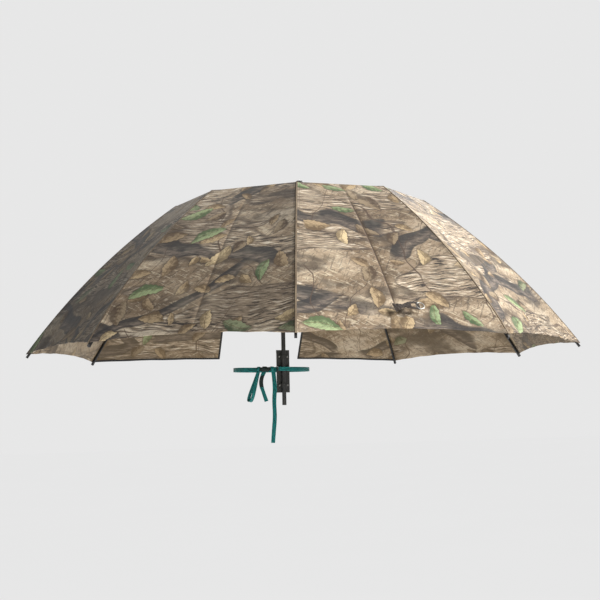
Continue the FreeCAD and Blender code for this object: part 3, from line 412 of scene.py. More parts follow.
def woodland(g, p):
    """Lays a generic woodland print: grain, limbs, twigs and plain leaves in tans, browns and some green."""
    x, y, _ = g.xyz(p)
    g.colour = g.ramp(
        g.noise(g.scaled(p, (0.8, 1.7, 1)), 5.0, 4, 0.6, 0.3),
        [(0.27, 92, 77, 60), (0.42, 136, 117, 94), (0.55, 172, 154, 130), (0.72, 208, 195, 174)],
    )
    wash = g.noise(g.scaled(p, (5, 34, 1)), 1.0, 4, 0.6, 0.5)
    g.lay(rgb(96, 78, 58), g.step(wash, 0.48, 0.64), 0.55)
    fleck = g.noise(p, 120, 3, 0.65)
    g.lay(rgb(84, 68, 50), g.step(fleck, 0.52, 0.68), 0.46)
    g.lay(rgb(218, 206, 184), g.step(g.noise(p, 75, 3, 0.6), 0.54, 0.68), 0.40)
    for seed, angle, fine, low, high, *straw in STRAWS:
        marks = strokes(g, p, seed, radians(angle), fine, low, high)
        g.lay(rgb(*straw), marks, 0.5)
    # a dark, soft thicket behind the leaves
    murk = g.step(g.noise(g.scaled(g.moved(p, (7.7, 1.9, 0)), (1.2, 2.3, 1)), 3.8, 3, 0.6), 0.51, 0.62)
    g.lay(rgb(54, 43, 32), murk, 0.80)
    # weathered wood, in long drifts
    drift = g.noise(g.scaled(g.moved(p, (3.1, 0.3, 0)), (1.0, 2.9, 1)), 2.7, 2, 0.5, 0.25)
    log = g.step(drift, 0.495, 0.508)
    sway = g.mul(g.sub(g.noise(p, 5.5, 2), 0.5), 0.07)
    grain_at = g.point(g.mul(x, 30.0), g.mul(g.add(y, sway), 235.0), 0.7)
    grain = g.noise(grain_at, 1.0, 4, 0.66, 0.35)
    body = g.mix(g.step(grain, 0.36, 0.60), rgb(88, 74, 62), rgb(174, 156, 132))
    body = g.mix(g.step(grain, 0.575, 0.62), body, rgb(224, 213, 194))
    body = g.mix(g.step(grain, 0.455, 0.415), body, rgb(38, 32, 29))
    tone = g.noise(g.scaled(p, (3, 9, 1)), 1.0, 3, 0.6)
    body = g.mix(g.mul(g.step(tone, 0.48, 0.64), 0.42), body, rgb(96, 82, 68))
    g.lay(body, log, 0.95)
    rim = g.mul(g.step(drift, 0.488, 0.500), g.step(drift, 0.522, 0.503))
    g.lay(rgb(58, 44, 34), rim, 0.62)
    # limbs
    for seed, angle, period, half, share, soft in LIMBS:
        mask, far = limb_layer(g, p, seed, radians(angle), period, half, 0.22, share, soft)
        rings = g.noise(g.scaled(g.moved(p, (seed, 0, 0)), (26, 110, 1)), 1.4, 4, 0.66, 0.8)
        bark = g.ramp(
            g.add(g.mul(rings, 0.72), g.mul(g.absolute(g.add(far, 0.35)), 0.26)),
            [(0.28, 134, 120, 106), (0.42, 78, 70, 64), (0.55, 32, 30, 30)],
        )
        g.lay(bark, mask, 0.93)
    for seed, angle, period, half, share in TWIGS:
        twig, _ = limb_layer(g, p, seed, radians(angle), period, half, 0.30, share, 0.0010)
        g.lay(rgb(72, 54, 42), twig, 0.80)
    # leaves
    for seed, cells, length, width, share, palette in LEAVES:
        leaf, tint, shade = leaf_layer(g, p, seed, cells, length, width, share, palette)
        g.lay(rgb(56, 42, 30), shade, 0.6)
        g.lay(tint, leaf, 1)
    drab = g.noise(g.moved(p, (0, 4.4, 0)), 2.4, 2)
    g.lay(rgb(118, 104, 84), g.step(drab, 0.40, 0.66), 0.40, "MULTIPLY")


def cloth_relief(g, p):
    """Height of a tight plain weave with its slubs and small puckers, for a bump node."""
    x, y, _ = g.xyz(p)
    weave = g.mul(g.wave(x, 0.0009), g.wave(y, 0.0009))
    slubs = g.noise(g.scaled(p, (1, 3, 1)), 420, 2, 0.6)
    return g.add(g.mul(weave, 0.25), g.mul(slubs, 0.75)), g.noise(p, 24, 3, 0.5)


def stitch_marks(g, away, along, place):
    """Dashes of thread along a line at that distance from an edge."""
    dash = g.math("LESS_THAN", g.math("FRACT", g.math("DIVIDE", along, 0.0036)), 0.66)
    return g.mul(g.step(g.absolute(g.sub(away, place)), 0.0008, 0.0003), dash)


def make_canopy_fabric(name, inside):
    g = Graph(name)
    p = g.uv("cloth")
    x, y, _ = g.xyz(p)
    from_hem, from_rib, _ = g.xyz(g.uv("edges"))
    woodland(g, p)
    if inside:
        g.lay(rgb(136, 116, 86), 1, 0.30)
        g.lay(rgb(110, 96, 74), 1, 0.14, "MULTIPLY")
    else:
        wear = g.noise(p, 9, 3, 0.6)
        g.lay(rgb(222, 210, 186), g.step(wear, 0.52, 0.72), 0.12)
    thread = g.math("MAXIMUM", stitch_marks(g, from_hem, x, 0.0085), stitch_marks(g, from_rib, y, 0.0075))
    g.lay(rgb(70, 58, 44), thread, 0.75)
    # painted shade: a dark line along the step where the hem's folded edge lies
    hem_fold_shade = g.step(g.absolute(g.sub(from_hem, 0.0105)), 0.0012, 0.0)
    g.lay(rgb(60, 50, 40), hem_fold_shade, 0.35)
    # painted shade: a dark line down the storage crease and a softer darkening beside it
    from_middle, crease_shade, _ = g.xyz(g.uv("middle"))
    line = g.mul(g.step(from_middle, 0.0026, 0.0010), crease_shade)
    g.lay(rgb(50, 38, 29), line, 0.92)
    g.lay(rgb(96, 74, 52), g.mul(g.step(from_middle, 0.012, 0.0), crease_shade), 0.22)
    weave, pucker = cloth_relief(g, p)
    near_seam = g.step(from_rib, 0.045, 0.0)
    gathers = g.mul(g.math("SINE", g.add(g.mul(y, 2 * pi / 0.017), g.mul(pucker, 9.0))), near_seam)
    normal = g.bump(weave, 0.22, 0.0003)
    normal = g.bump(g.add(pucker, g.mul(gathers, 0.16)), 0.38, 0.004, normal)
    normal = g.bump(thread, 0.5, 0.0005, normal)
    rough = g.spread(pucker, 0.66, 0.84)
    return g.surface(rough, normal, Sheen_Weight=0.12, Sheen_Roughness=0.5, Specular_IOR_Level=0.28)


def make_seam_fabric():
    g = Graph("felled_seam")
    x, y, _ = g.xyz(g.uv("cloth"))
    p = g.point(x, y)
    tone = g.noise(g.scaled(p, (40, 14, 1)), 1.0, 4, 0.6)
    g.colour = g.ramp(tone, [(0.3, 82, 70, 56), (0.48, 122, 107, 87), (0.68, 158, 143, 120)])
    side = g.absolute(x)
    thread = stitch_marks(g, side, y, 0.0013)
    g.lay(rgb(92, 70, 42), thread, 0.8)
    # painted shade: dark lines along both edges of the seam strip
    g.lay(rgb(52, 42, 32), g.step(side, 0.0015, 0.0021), 0.85)
    weave, pucker = cloth_relief(g, p)
    normal = g.bump(weave, 0.3, 0.0003)
    normal = g.bump(g.wave(y, 0.0072), 0.25, 0.0006, normal)
    normal = g.bump(thread, 0.6, 0.0006, normal)
    rough = g.add(0.62, g.mul(pucker, 0.2))
    return g.surface(rough, normal, Sheen_Weight=0.1, Specular_IOR_Level=0.3)


def make_tape(name, dark, light, ribs, stitched=None, shine=0.62):
    """Woven tape or webbing: ribbed along its length, with selvedges and stitches."""
    g = Graph(name)
    x, y, _ = g.xyz(g.uv("cloth"))
    p = g.point(x, y)
    tone = g.noise(g.scaled(p, (260, 60, 1)), 1.0, 3, 0.6)
    g.colour = g.mix(g.step(tone, 0.3, 0.7), dark, light)
    side = g.absolute(x)
    chevron = g.wave(g.add(y, g.mul(side, 0.9)), ribs)
    cords = g.wave(x, ribs * 0.8)
    g.lay(light, g.step(chevron, 0.2, 0.9), 0.30)
    g.lay(dark, g.step(chevron, -0.2, -0.9), 0.45)
    thread = stitch_marks(g, side, y, stitched) if stitched else 0.0
    g.lay(light, thread, 0.6)
    fuzz = g.noise(p, 900, 2, 0.7)
    normal = g.bump(g.add(g.mul(chevron, 0.6), g.mul(cords, 0.5)), 0.55, 0.0004)
    normal = g.bump(g.add(fuzz, thread), 0.25, 0.0003, normal)
    rough = g.spread(fuzz, shine, shine + 0.2)
    return g.surface(rough, normal, Sheen_Weight=0.2, Sheen_Roughness=0.4, Specular_IOR_Level=0.35)


def make_coated_metal(name, base, rubbed, grain=900, roughness=(0.34, 0.52), metallic=0.0):
    """Powder coat or paint: fine orange peel, with lighter patches of dust and rubbing."""
    g = Graph(name)
    p = g.place()
    peel = g.noise(p, grain, 2, 0.5)
    haze = g.noise(p, 38, 4, 0.6)
    scuff = g.noise(g.scaled(p, (1, 1, 0.25)), 210, 4, 0.7)
    g.colour = base
    g.lay(rubbed, g.step(haze, 0.45, 0.75), 0.35)
    g.lay(rubbed, g.step(scuff, 0.66, 0.74), 0.5)
    normal = g.bump(peel, 0.18, 0.0003)
    normal = g.bump(scuff, 0.06, 0.0004, normal)
    rough = g.spread(haze, *roughness, 0.3, 0.7)
    return g.surface(rough, normal, Metallic=metallic, Specular_IOR_Level=0.5)


def make_plastic(name, base, dusty):
    """Moulded plastic: a fine spark-eroded texture with faint flow marks and dust."""
    g = Graph(name)
    p = g.place()
    pits = g.node("TexVoronoi", {"Vector": p, "Scale": 1300.0}).outputs["Distance"]
    flow = g.noise(g.scaled(p, (1, 1, 3)), 55, 3, 0.6, 0.6)
    dust = g.noise(p, 150, 4, 0.7)
    g.colour = base
    g.lay(dusty, g.step(flow, 0.4, 0.7), 0.3)
    g.lay(dusty, g.step(dust, 0.58, 0.72), 0.4)
    normal = g.bump(pits, 0.16, 0.0002)
    normal = g.bump(flow, 0.05, 0.0006, normal)
    rough = g.spread(flow, 0.42, 0.6)
    return g.surface(rough, normal, Specular_IOR_Level=0.45)


fabric_out = make_canopy_fabric("canopy_print_outside", False)
fabric_in = make_canopy_fabric("canopy_print_inside", True)
seam_fabric = make_seam_fabric()
black_tape = make_tape("black_binding", rgb(20, 19, 18), rgb(48, 46, 43), 0.0014, 0.0018)
webbing = make_tape("teal_webbing", rgb(0, 76, 76), rgb(4, 126, 122), 0.0022)
# near-black teal webbing: painted shade for the bow's knot, doubled band, inner turns and part of the short
# tail
shade_painted_webbing = make_tape("webbing_painted_shade", rgb(26, 25, 23), rgb(22, 52, 50), 0.0022)
tie_tape = make_tape("brown_tie_tape", rgb(30, 24, 20), rgb(58, 47, 39), 0.0018, 0.0082, 0.7)
rib_paint = make_coated_metal("rib_black_paint", rgb(22, 22, 23), rgb(66, 64, 62), roughness=(0.3, 0.46))
mast_paint = make_coated_metal("mast_powder_coat", rgb(34, 35, 34), rgb(74, 74, 70), 1400, (0.4, 0.58))
bracket_paint = make_coated_metal("bracket_powder_coat", rgb(36, 37, 35), rgb(84, 82, 76), 700, (0.46, 0.62))
plated = make_coated_metal("plated_steel", rgb(150, 150, 146), rgb(196, 194, 188), 1600, (0.24, 0.42), 0.95)
plastic = make_plastic("black_moulded_plastic", rgb(24, 24, 25), rgb(62, 60, 57))

FINISHES = {
    "crown_hub": plastic, "finial": plastic, "runner": plastic, "bar_plug": plastic, "crown_wire": plated,
    "upper_shaft": mast_paint, "lower_bar": mast_paint, "bar_button": plated, "runner_catch": plated,
    "tree_bracket": bracket_paint, "bracket_saddles": bracket_paint,
}
for name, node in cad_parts.items():
    finish = FINISHES.get(name, rib_paint if "rib" in name or "stretcher" in name else None)
    if finish is None:
        continue
    if not node.data.materials:
        node.data.materials.append(finish)
    for holder in node.material_slots:
        holder.material = finish

# ---- the canopy's wedges
# Columns go from a rib (0) to its panel's middle or the slot (1), rows from the top to the lower edge.
COLUMNS = (
    0, 0.012, 0.03, 0.055, 0.09, 0.14, 0.2, 0.28, 0.37, 0.46, 0.55, 0.64,
    0.73, 0.81, 0.875, 0.92, 0.95, 0.972, 0.986, 0.994, 1,
)
SKIRT_ROWS = (0, 0.008, 0.02, 0.045, *(k / 24 for k in range(2, 23)), 0.94, 0.962, 0.975, 0.981, 0.99, 1)
CROWN_ROWS = (*(k / 16 for k in range(16)), 0.965, 0.985, 1)
# The storage crease down a panel's middle: its depth, and how strong the painted shade along it is.
CREASE, OTHER_CREASE = {3: 0.0012, 4: 0.0024}, 0.0006
CREASE_SHADE, OTHER_CREASE_SHADE = {3: 0.35, 4: 1.0}, 0.25
# How far the cloth sags between ribs, and how far it stands up over seams and the hem and in its waves.
SKIRT_SAG, CROWN_SAG, REAR_SAG = 0.0055, 0.002, 0.0015
SEAM_RISE, SEAM_WIDTH, HEM_RISE = 0.0005, 0.007, 0.0004
FLUTE, SKIRT_RIPPLE, CROWN_RIPPLE = 0.0016, 0.0011, 0.0006


def panel_of(i, side):
    """The panel beside rib i on that side: 1 is between ribs 1 and 2, 0 and 8 are at the rear."""
    return i if side > 0 else i - 1


def print_at(panel, x, run):
    return (x + 0.61 * panel + 0.17, 0.19 * sin(2.1 * panel + 0.4) - run)


def ridge(distance, width):
    """1 on a line and next to nothing two widths away."""
    return exp(-((distance / width) ** 2))


def front_point(i, side, u, r, z):
    """A point between rib i and the middle of its panel, with its distance along the chord."""
    rib = outward(azimuth(i), r, z)
    other = outward(azimuth(i + side), r, z)
    half = (other - rib).length / 2
    return rib.lerp(other, u / 2), half


def rear_point(i, u, r, z, inner):
    """A point between rib i and the slot's edge at x = inner, with the distance from one to the other."""
    rib = outward(azimuth(i), r, z)
    edge = Vector((inner, rib.y, rib.z))
    return rib.lerp(edge, u), (edge - rib).length


def slot_edge(side, s=0.0):
    """Where the slot's edge is beside rib 8 (side 1) or rib 1 (side -1), s of the way down."""
    slack = min(1.0, max(0.0, (s - SLACK_START) / SLACK_RUN)) if side < 0 else 0.0
    return SLOT_X + side * SLOT_HALF + SLOT_SLACK * slack * slack * (3 - 2 * slack)


def skirt_half(i, side):
    """Rows of (point, lift, print place, (from hem, from rib), (from middle, crease shade)) beside rib i."""
    rear = not 1 <= i + side <= RIBS
    panel = panel_of(i, side)
    middle_rise = 0 if rear else slope_at(SCALLOP) - LAST
    crease = 0 if rear else CREASE.get(panel, OTHER_CREASE)
    most_crease_shade = 0 if rear else CREASE_SHADE.get(panel, OTHER_CREASE_SHADE)
    rows = []
    for s in SKIRT_ROWS:
        row = []
        fade = min(1, 6 * s) * min(1, 8 * (1.02 - s))
        # the crease's painted shade fades out towards the crown and the hem
        crease_shade = most_crease_shade * min(1, max(0, 9 * (s - 0.1))) * min(1, max(0, 12 * (0.93 - s)))
        for u in COLUMNS:
            rounded = u * (2 - u)
            last = LAST + middle_rise * rounded + CORNER_REACH / BOW * (1 - rounded)
            slope = FIRST + s * (last - FIRST)
            r, z = skirt(slope)
            if rear:
                point, half = rear_point(i, u, r, z, slot_edge(side, s))
            else:
                point, half = front_point(i, side, u, r, z)
            from_middle = (1 - u) * half
            from_hem = BOW * (last - slope)
            flute = sin(2 * pi * (3.0 * u + 0.13 * panel)) * sin(pi * u)
            ripple = sin(pi * u) * sin(pi * s) * sin(11 * s + 5 * u + 1.7 * panel)
            lift = -SKIRT_SAG * sin(0.75 * pi * s) * rounded
            lift -= crease * fade * ridge(from_middle, 0.0042)
            lift += FLUTE * s * s * flute + SKIRT_RIPPLE * ripple
            lift += SEAM_RISE * ridge(u * half, SEAM_WIDTH)
            if from_hem < HEM_FOLD:
                lift += HEM_RISE
            spot = print_at(panel, side * (u - 1) * half, CROWN_LENGTH + BOW * (slope - FIRST))
            row.append((point, lift, spot, (from_hem, u * half), (from_middle, crease_shade)))
        rows.append(row)
    return rows


def crown_half(i, side):
    """Rows like those of skirt_half, for the crown between two ribs."""
    panel = panel_of(i, side)
    crease = CREASE.get(panel, OTHER_CREASE) * 0.5
    rows = []
    for s in CROWN_ROWS:
        row = []
        r = FABRIC_START + s * (KNUCKLE - FABRIC_START)
        for u in COLUMNS:
            point, half = front_point(i, side, u, r, crown_z(r))
            from_middle = (1 - u) * half
            rounded = u * (2 - u)
            ripple = sin(pi * u) * sin(pi * s) * sin(9 * s + 6 * u + panel)
            lift = -CROWN_SAG * sin(pi * s) * rounded
            lift -= crease * s * min(1, 8 * (1 - s)) * ridge(from_middle, 0.004)
            lift += CROWN_RIPPLE * ripple
            lift += SEAM_RISE * ridge(u * half, SEAM_WIDTH) * min(1, 10 * s)
            spot = print_at(panel, side * (u - 1) * half, r / cos(CROWN_SLOPE))
            row.append((point, lift, spot, (1.0, u * half), (from_middle, 0.0)))
        rows.append(row)
    return rows


def rear_crown_rows(i, side):
    """The crown beside the tree: whole down to the slot, then out to the slot's round corner and edge."""
    share = cos(REAR)
    edge = slot_edge(side)
    middle = edge - side * SLOT_CORNER
    rib_x = SLOT_END * tan(REAR) * side
    part = (rib_x - middle) / rib_x
    panel = panel_of(i, side)
    inner_columns = tuple(part * u for u in COLUMNS) + tuple(part + (1 - part) * k / 8 for k in range(1, 9))

    def vertex(y, x, u):
        r = y / share
        rib = outward(azimuth(i), r, crown_z(r))
        point = Vector((x, rib.y, rib.z))
        lift = -REAR_SAG * sin(pi * min(1, r / KNUCKLE)) * u * (2 - u)
        spot = print_at(panel, -x, r / cos(CROWN_SLOPE))
        return (point, lift, spot, (1.0, abs(rib.x - x)), (1.0, 0.0))

    first, second = [], []
    start = FABRIC_START * share
    for k in range(11):
        y = start + (SLOT_END - start) * k / 10
        first.append([vertex(y, y * tan(REAR) * side * (1 - u), u) for u in inner_columns])
    turns = [radians(a) for a in (0, 15, 30, 45, 60, 75, 90)]
    ends = []
    for a in turns:
        ends.append((SLOT_END + SLOT_CORNER * (1 - cos(a)), middle + side * SLOT_CORNER * sin(a)))
    last = KNUCKLE * share
    ends += [(ends[-1][0] + (last - ends[-1][0]) * k / 3, edge) for k in (1, 2, 3)]
    for y, inner in ends:
        outer = y * tan(REAR) * side
        second.append([vertex(y, outer + (inner - outer) * u, u) for u in COLUMNS])
    return first, second


def place_of(item):
    return tuple(round(c, 6) for c in item[0])


def on_top(top, item):
    return top[place_of(item)]


def dress(piece, body):
    """Makes a piece ride on a body, with its own copy of its mesh."""
    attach(piece, body)
    gather(piece)


def make_wedge(name, grids, body):
    """A thin two-faced shell of fabric from grids of rows that share their rib and any row that touches.

    With it come its flat area and, for each place in the grids, the point and normal on its top face.
    """
    bm = bmesh.new()
    found, data = {}, {}

    def corner(item):
        key = place_of(item)
        if key not in found:
            found[key] = (bm.verts.new(item[0]), item[1])
        return found[key][0]

    for grid in grids:
        for a, b in zip(grid, grid[1:]):
            for k in range(min(len(a), len(b)) - 1):
                items = (a[k], a[k + 1], b[k + 1], b[k])
                verts = [corner(item) for item in items]
                if len(set(verts)) == 4:
                    data[bm.faces.new(verts)] = dict(zip(verts, items))
    faces = list(data)
    bmesh.ops.recalc_face_normals(bm, faces=bm.faces)
    bm.normal_update()
    if sum(f.normal.z for f in faces) < 0:
        bmesh.ops.reverse_faces(bm, faces=bm.faces)
        bm.normal_update()
    lifts = dict(found.values())
    normals = {v: v.normal.copy() for v in bm.verts}
    flat_area = sum(f.calc_area() for f in bm.faces)
    border = [e for e in bm.edges if len(e.link_faces) == 1]
    lower = {}
    for v, lift in lifts.items():
        lower[v] = bm.verts.new(v.co + normals[v] * (lift + CLOTH_TOP - CLOTH))
    layers = [bm.loops.layers.uv.new(layer) for layer in ("cloth", "edges", "middle")]

    def paint(face, items, above):
        """Gives each corner of a face the print of the item above it."""
        for loop in face.loops:
            for layer, uv in zip(layers, items[above.get(loop.vert, loop.vert)][2:]):
                loop[layer].uv = uv

    for face in faces:
        under = bm.faces.new([lower[v] for v in reversed(face.verts)])
        under.material_index = 1
        paint(face, data[face], {})
        paint(under, data[face], {lower[v]: v for v in face.verts})
    for e in border:
        a, b = e.verts
        owner = e.link_faces[0]
        rim = bm.faces.new((b, a, lower[a], lower[b]))
        paint(rim, data[owner], {lower[a]: a, lower[b]: b})
    for v, lift in lifts.items():
        v.co = v.co + normals[v] * (lift + CLOTH_TOP)
    top = {key: (v.co.copy(), normals[v].copy()) for key, (v, _) in found.items()}
    bmesh.ops.recalc_face_normals(bm, faces=bm.faces)
    piece = finish_mesh(name, bm, [fabric_out, fabric_in], 38)
    dress(piece, body)
    return piece, flat_area, top


# Binding folded over an edge: flat on both faces, a little proud of the edge.
TAPE_IN, TAPE_OUT, TAPE = 0.0050, 0.0010, 0.0012
TAPE_SECTION = mirrored([(TAPE_IN, TAPE * 0.6), (TAPE_IN * 0.5, TAPE), (0.0, TAPE), (-TAPE_OUT, TAPE * 0.5)])


def bind_edge(name, path, body, inward):
    """Black binding along a path of (point, normal) pairs; inward is a point on the fabric's side of it."""
    points = [p - n * (CLOTH / 2) for p, n in path]
    normals = [n for _, n in path]
    middle = len(points) // 2
    side = normals[middle].cross(tangents_of(points)[middle])
    flip = 1 if side.dot(inward - points[middle]) > 0 else -1
    dress(sweep(name, points, normals, TAPE_SECTION, black_tape, flip=flip), body)


def clean(path):
    """The path without points that all but touch the one before."""
    out = []
    for item in path:
        if not out or (item[0] - out[-1][0]).length > 0.0008:
            out.append(item)
    return out


SEAM_START, SEAM_LIFT = 0.024, 0.0001
SEAM_OUTLINE = (
    (-0.0025, 0.0), (-0.0022, 0.0005), (-0.0008, 0.0006), (0.0008, 0.0006),
    (0.0022, 0.0005), (0.0025, 0.0), (0.0018, -0.0006), (-0.0018, -0.0006),
)


def seam_strip(name, i, part):
    """The felled seam over a rib, bent over the ridge that its two panels make there."""
    points, normals, slopes = [], [], []
    steps = 36 if part == "skirt" else 18
    for k in range(steps + 1):
        s = k / steps
        if part == "skirt":
            slope = FIRST + s * (LAST + CORNER_REACH / BOW - FIRST)
            r, z = skirt(slope)
        else:
            slope = CROWN_SLOPE
            r = SEAM_START + s * (KNUCKLE - SEAM_START)
            z = crown_z(r)
        normal = outward(azimuth(i), sin(slope), cos(slope)) - CENTRE
        points.append(outward(azimuth(i), r, z) + normal * SEAM_LIFT)
        normals.append(normal)
        slopes.append(slope)
    flip = 1 if normals[0].cross(tangents_of(points)[0]).dot(across(i)) > 0 else -1
    turns = [REAR if not 1 <= i + side <= RIBS else PITCH / 2 for side in (-1, 1)]

    def section(k):
        falls = [tan(asin(sin(turn) * sin(slopes[k]))) for turn in turns]
        return [(x, up - abs(x) * falls[0 if x < 0 else 1]) for x, up in SEAM_OUTLINE]

    piece = sweep(name, points, normals, section, seam_fabric, flip=flip, sharp=60)
    dress(piece, f"rib_{i}_outer" if part == "skirt" else f"rib_{i}_inner")


for i in range(1, RIBS + 1):
    slot_side = {1: -1, RIBS: 1}.get(i, 0)
    outer, inner = f"rib_{i}_outer", f"rib_{i}_inner"
    halves = [skirt_half(i, side) for side in (-1, 1)]
    piece, flat_area, top = make_wedge(f"skirt_cloth_{i}", halves, outer)
    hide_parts(f"canopy_skirt_{i}")
    seam_strip(f"skirt_seam_{i}", i, "skirt")
    if slot_side:
        rows = halves[max(slot_side, 0)]
        hem = [on_top(top, item) for item in rows[-1]]
        edge = [on_top(top, row[-1]) for row in reversed(rows)]
        inward = rows[len(rows) // 2][len(COLUMNS) // 2][0]
        bind_edge(f"hem_binding_{i}", clean(hem[1:]), outer, inward)
        bind_edge(f"slot_binding_{i}", clean(edge), outer, inward)

    if slot_side:
        first, second = rear_crown_rows(i, slot_side)
        grids = [crown_half(i, -slot_side), first, second]
    else:
        grids = [crown_half(i, side) for side in (-1, 1)]
    piece, flat_area, top = make_wedge(f"crown_cloth_{i}", grids, inner)
    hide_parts(f"canopy_crown_{i}")
    seam_strip(f"crown_seam_{i}", i, "crown")
    if slot_side:
        end = [on_top(top, item) for item in reversed(first[-1][len(COLUMNS) - 1 :])]
        edge = [on_top(top, row[-1]) for row in second]
        bind_edge(f"slot_end_binding_{i}", clean(end + edge), inner, second[len(second) // 2][2][0])

# ---- the tie
MIDDLE_FALL = atan(tan(slope_at(TIE_ABOVE_HEM)) / cos(PITCH / 2))
tie_r, tie_z = skirt(slope_at(TIE_ABOVE_HEM))
tie_from = outward(0, tie_r * cos(PITCH / 2), tie_z)
tie_down = Vector((0, -cos(MIDDLE_FALL), -sin(MIDDLE_FALL)))
tie_up = Vector((0, -sin(MIDDLE_FALL), cos(MIDDLE_FALL)))
tie_side = Vector((1, 0, 0))
TIE_START = -0.013


def tie_point(x, y, lift):
    """A point near the front panel's middle line: x along the hem from the sewn end, y down the panel."""
    return tie_from + tie_side * (TIE_START + x) + tie_down * y + tie_up * lift


def circle(count):
    """Cosines and sines of even steps round a circle."""
    return [(cos(tau * k / count), sin(tau * k / count)) for k in range(count)]


def tie_band(name, width, thick, *stops):
    """A strap of the tie through (x, y, lift) stops, as wide at each share of it as width says."""
    line = smooth_route([tie_point(*stop) for stop in stops], 24)
    up = [tie_up + tie_down * 0.10 * sin(0.45 * k) for k in range(len(line))]
    return sweep(name, line, up, lambda k: band_section(width(k / (len(line) - 1)), thick), tie_tape)


def fan(share):
    """Wide at the sewn end and pinched where the strap is gathered."""
    return 0.0095 + 0.0145 * max(0.0, 1 - 1.9 * share) ** 1.4 + 0.003 * max(0.0, share - 0.75)


def even(width):
    return lambda share: width


tie_bands = [tie_band(*row) for row in (
    ("tie_strap", fan, 0.0022,
        (0.0, 0.016, 0.0085), (0.012, 0.014, 0.0115), (0.026, 0.011, 0.0096), (0.040, 0.010, 0.0104)),
    ("tie_upper_strand", even(0.0062), 0.0016,
        (0.026, 0.008, 0.0096), (0.036, 0.003, 0.0124), (0.052, 0.0005, 0.0090)),
    ("tie_lower_strand", even(0.0066), 0.0016,
        (0.030, 0.0135, 0.0092), (0.042, 0.018, 0.0112), (0.055, 0.0175, 0.0082)),
    ("tie_loop_end", even(0.0078), 0.0018,
        (0.055, -0.0015, 0.0082), (0.0575, 0.009, 0.0106), (0.056, 0.0195, 0.0078)),
)]
RING_R, WIRE_R = 0.009, 0.0012
ring_middle = tie_point(0.062, 0.010, 0.0088)
ring_points = [ring_middle + tie_side * RING_R * c + tie_down * RING_R * s for c, s in circle(40)]
round_wire = [(WIRE_R * c, WIRE_R * s) for c, s in circle(10)]
tie_ring = sweep("tie_ring", ring_points, [tie_up] * 40, round_wire, plated, closed=True, sharp=80)
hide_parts("closure_tie")
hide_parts("closure_ring")
for piece in (*tie_bands, tie_ring):
    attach(piece, "rib_5_outer")
    gather(piece)

# ---- the webbing
TRUNK, WEB, WEB_WIDE, WEB_GAP = 0.112, 0.0016, 0.012, 0.0004
BAR_RADIUS, SADDLE_EAR, SADDLE_WALL, BRACKET_WALL = 0.006, 0.009, 0.0022, 0.004
# The webbing goes round the trunk, then forward on both sides of the bar and across in front of it.
OVER_BAR, CORNER_R = 0.13045, 0.003
leg = BAR_RADIUS + SADDLE_EAR + WEB / 2
front = -(OVER_BAR + WEB / 2)
ring_r = TRUNK + WEB / 2
leave = asin(leg / ring_r)
start_y = -ring_r * cos(leave)
path, faces_out = [], []


def straight(start, end, parts, face, left_out=0):
    """Takes the webbing from start to end in even steps; the closing step can be left out."""
    for k in range(1, parts + 1 - left_out):
        path.append(Vector((*start, 0)).lerp(Vector((*end, 0)), k / parts))
        faces_out.append(Vector(face))


def bend_round(x, turned):
    """Takes the webbing through a quarter turn round a centre at x, when it has already turned so far."""
    for k in range(1, 7):
        a = radians(turned + 15 * k)
        face = Vector((-cos(a), -sin(a), 0))
        path.append(Vector((x, front + CORNER_R, 0)) + face * CORNER_R)
        faces_out.append(face)


for k in range(121):
    angle = leave + (tau - 2 * leave) * k / 120
    sag = 0.0042 * sin(angle / 2) ** 2 - 0.0012 * ridge(angle - tau + 0.7, 0.35)
    path.append(Vector((ring_r * sin(angle), -ring_r * cos(angle), sag)))
    faces_out.append(Vector((sin(angle), -cos(angle), 0)))
straight((-leg, start_y), (-leg, front + CORNER_R), 5, (-1, 0, 0))
bend_round(-leg + CORNER_R, 0)
straight((-leg + CORNER_R, front), (leg - CORNER_R, front), 7, (0, -1, 0))
bend_round(leg - CORNER_R, 90)
straight((leg, front + CORNER_R), (leg, start_y), 5, (1, 0, 0), left_out=1)
ring = sweep("webbing_ring", path, faces_out, band_section(WEB_WIDE, WEB), webbing, closed=True)
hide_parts("strap_ring")


def on_trunk(angle, height, out=0.0, along=0.0):
    """A point on the webbing's face: at an angle round the trunk, so far out from it and along it."""
    a = radians(angle)
    radius, c, s = TRUNK + WEB + WEB_GAP + out, cos(a), sin(a)
    return Vector((radius * s + along * c, along * s - radius * c, height))


def outward_of(angle):
    a = radians(angle)
    return Vector((sin(a), -cos(a), 0))


KNOT_ANGLE, LOOP_ANGLE, SHORT_ANGLE, LONG_ANGLE = -26, -35.5, -27, -14
knot_out = outward_of(KNOT_ANGLE)
knot_along = Vector((-knot_out.y, knot_out.x, 0))
turn = Matrix((knot_out, knot_along, Vector((0, 0, 1)))).transposed()


def knot_lump(name, along, length, high, deep, lean):
    """A pulled-tight turn of the webbing: rounded, pinched at its waist and creased."""
    bm = bmesh.new()
    bmesh.ops.create_icosphere(bm, subdivisions=5, radius=1)
    uv = bm.loops.layers.uv.new("cloth")
    for v in bm.verts:
        a, b, c = v.co
        squeeze = 1 - 0.20 * exp(-((b / 0.3) ** 2))
        swell = 1 + 0.07 * sin(9 * c + 3 * b) + 0.05 * sin(13 * b - 4 * c)
        box = [copysign(abs(t) ** 0.72, t) for t in (a, b, c)]
        v.co = (box[0] * deep * swell, box[1] * length, box[2] * high * squeeze * swell + lean * box[1])
    for face in bm.faces:
        for loop in face.loops:
            loop[uv].uv = (loop.vert.co.z, loop.vert.co.y)
    middle = on_trunk(KNOT_ANGLE, 0, deep) + knot_along * along
    for v in bm.verts:
        v.co = middle + turn @ v.co
    return finish_mesh(name, bm, [shade_painted_webbing])
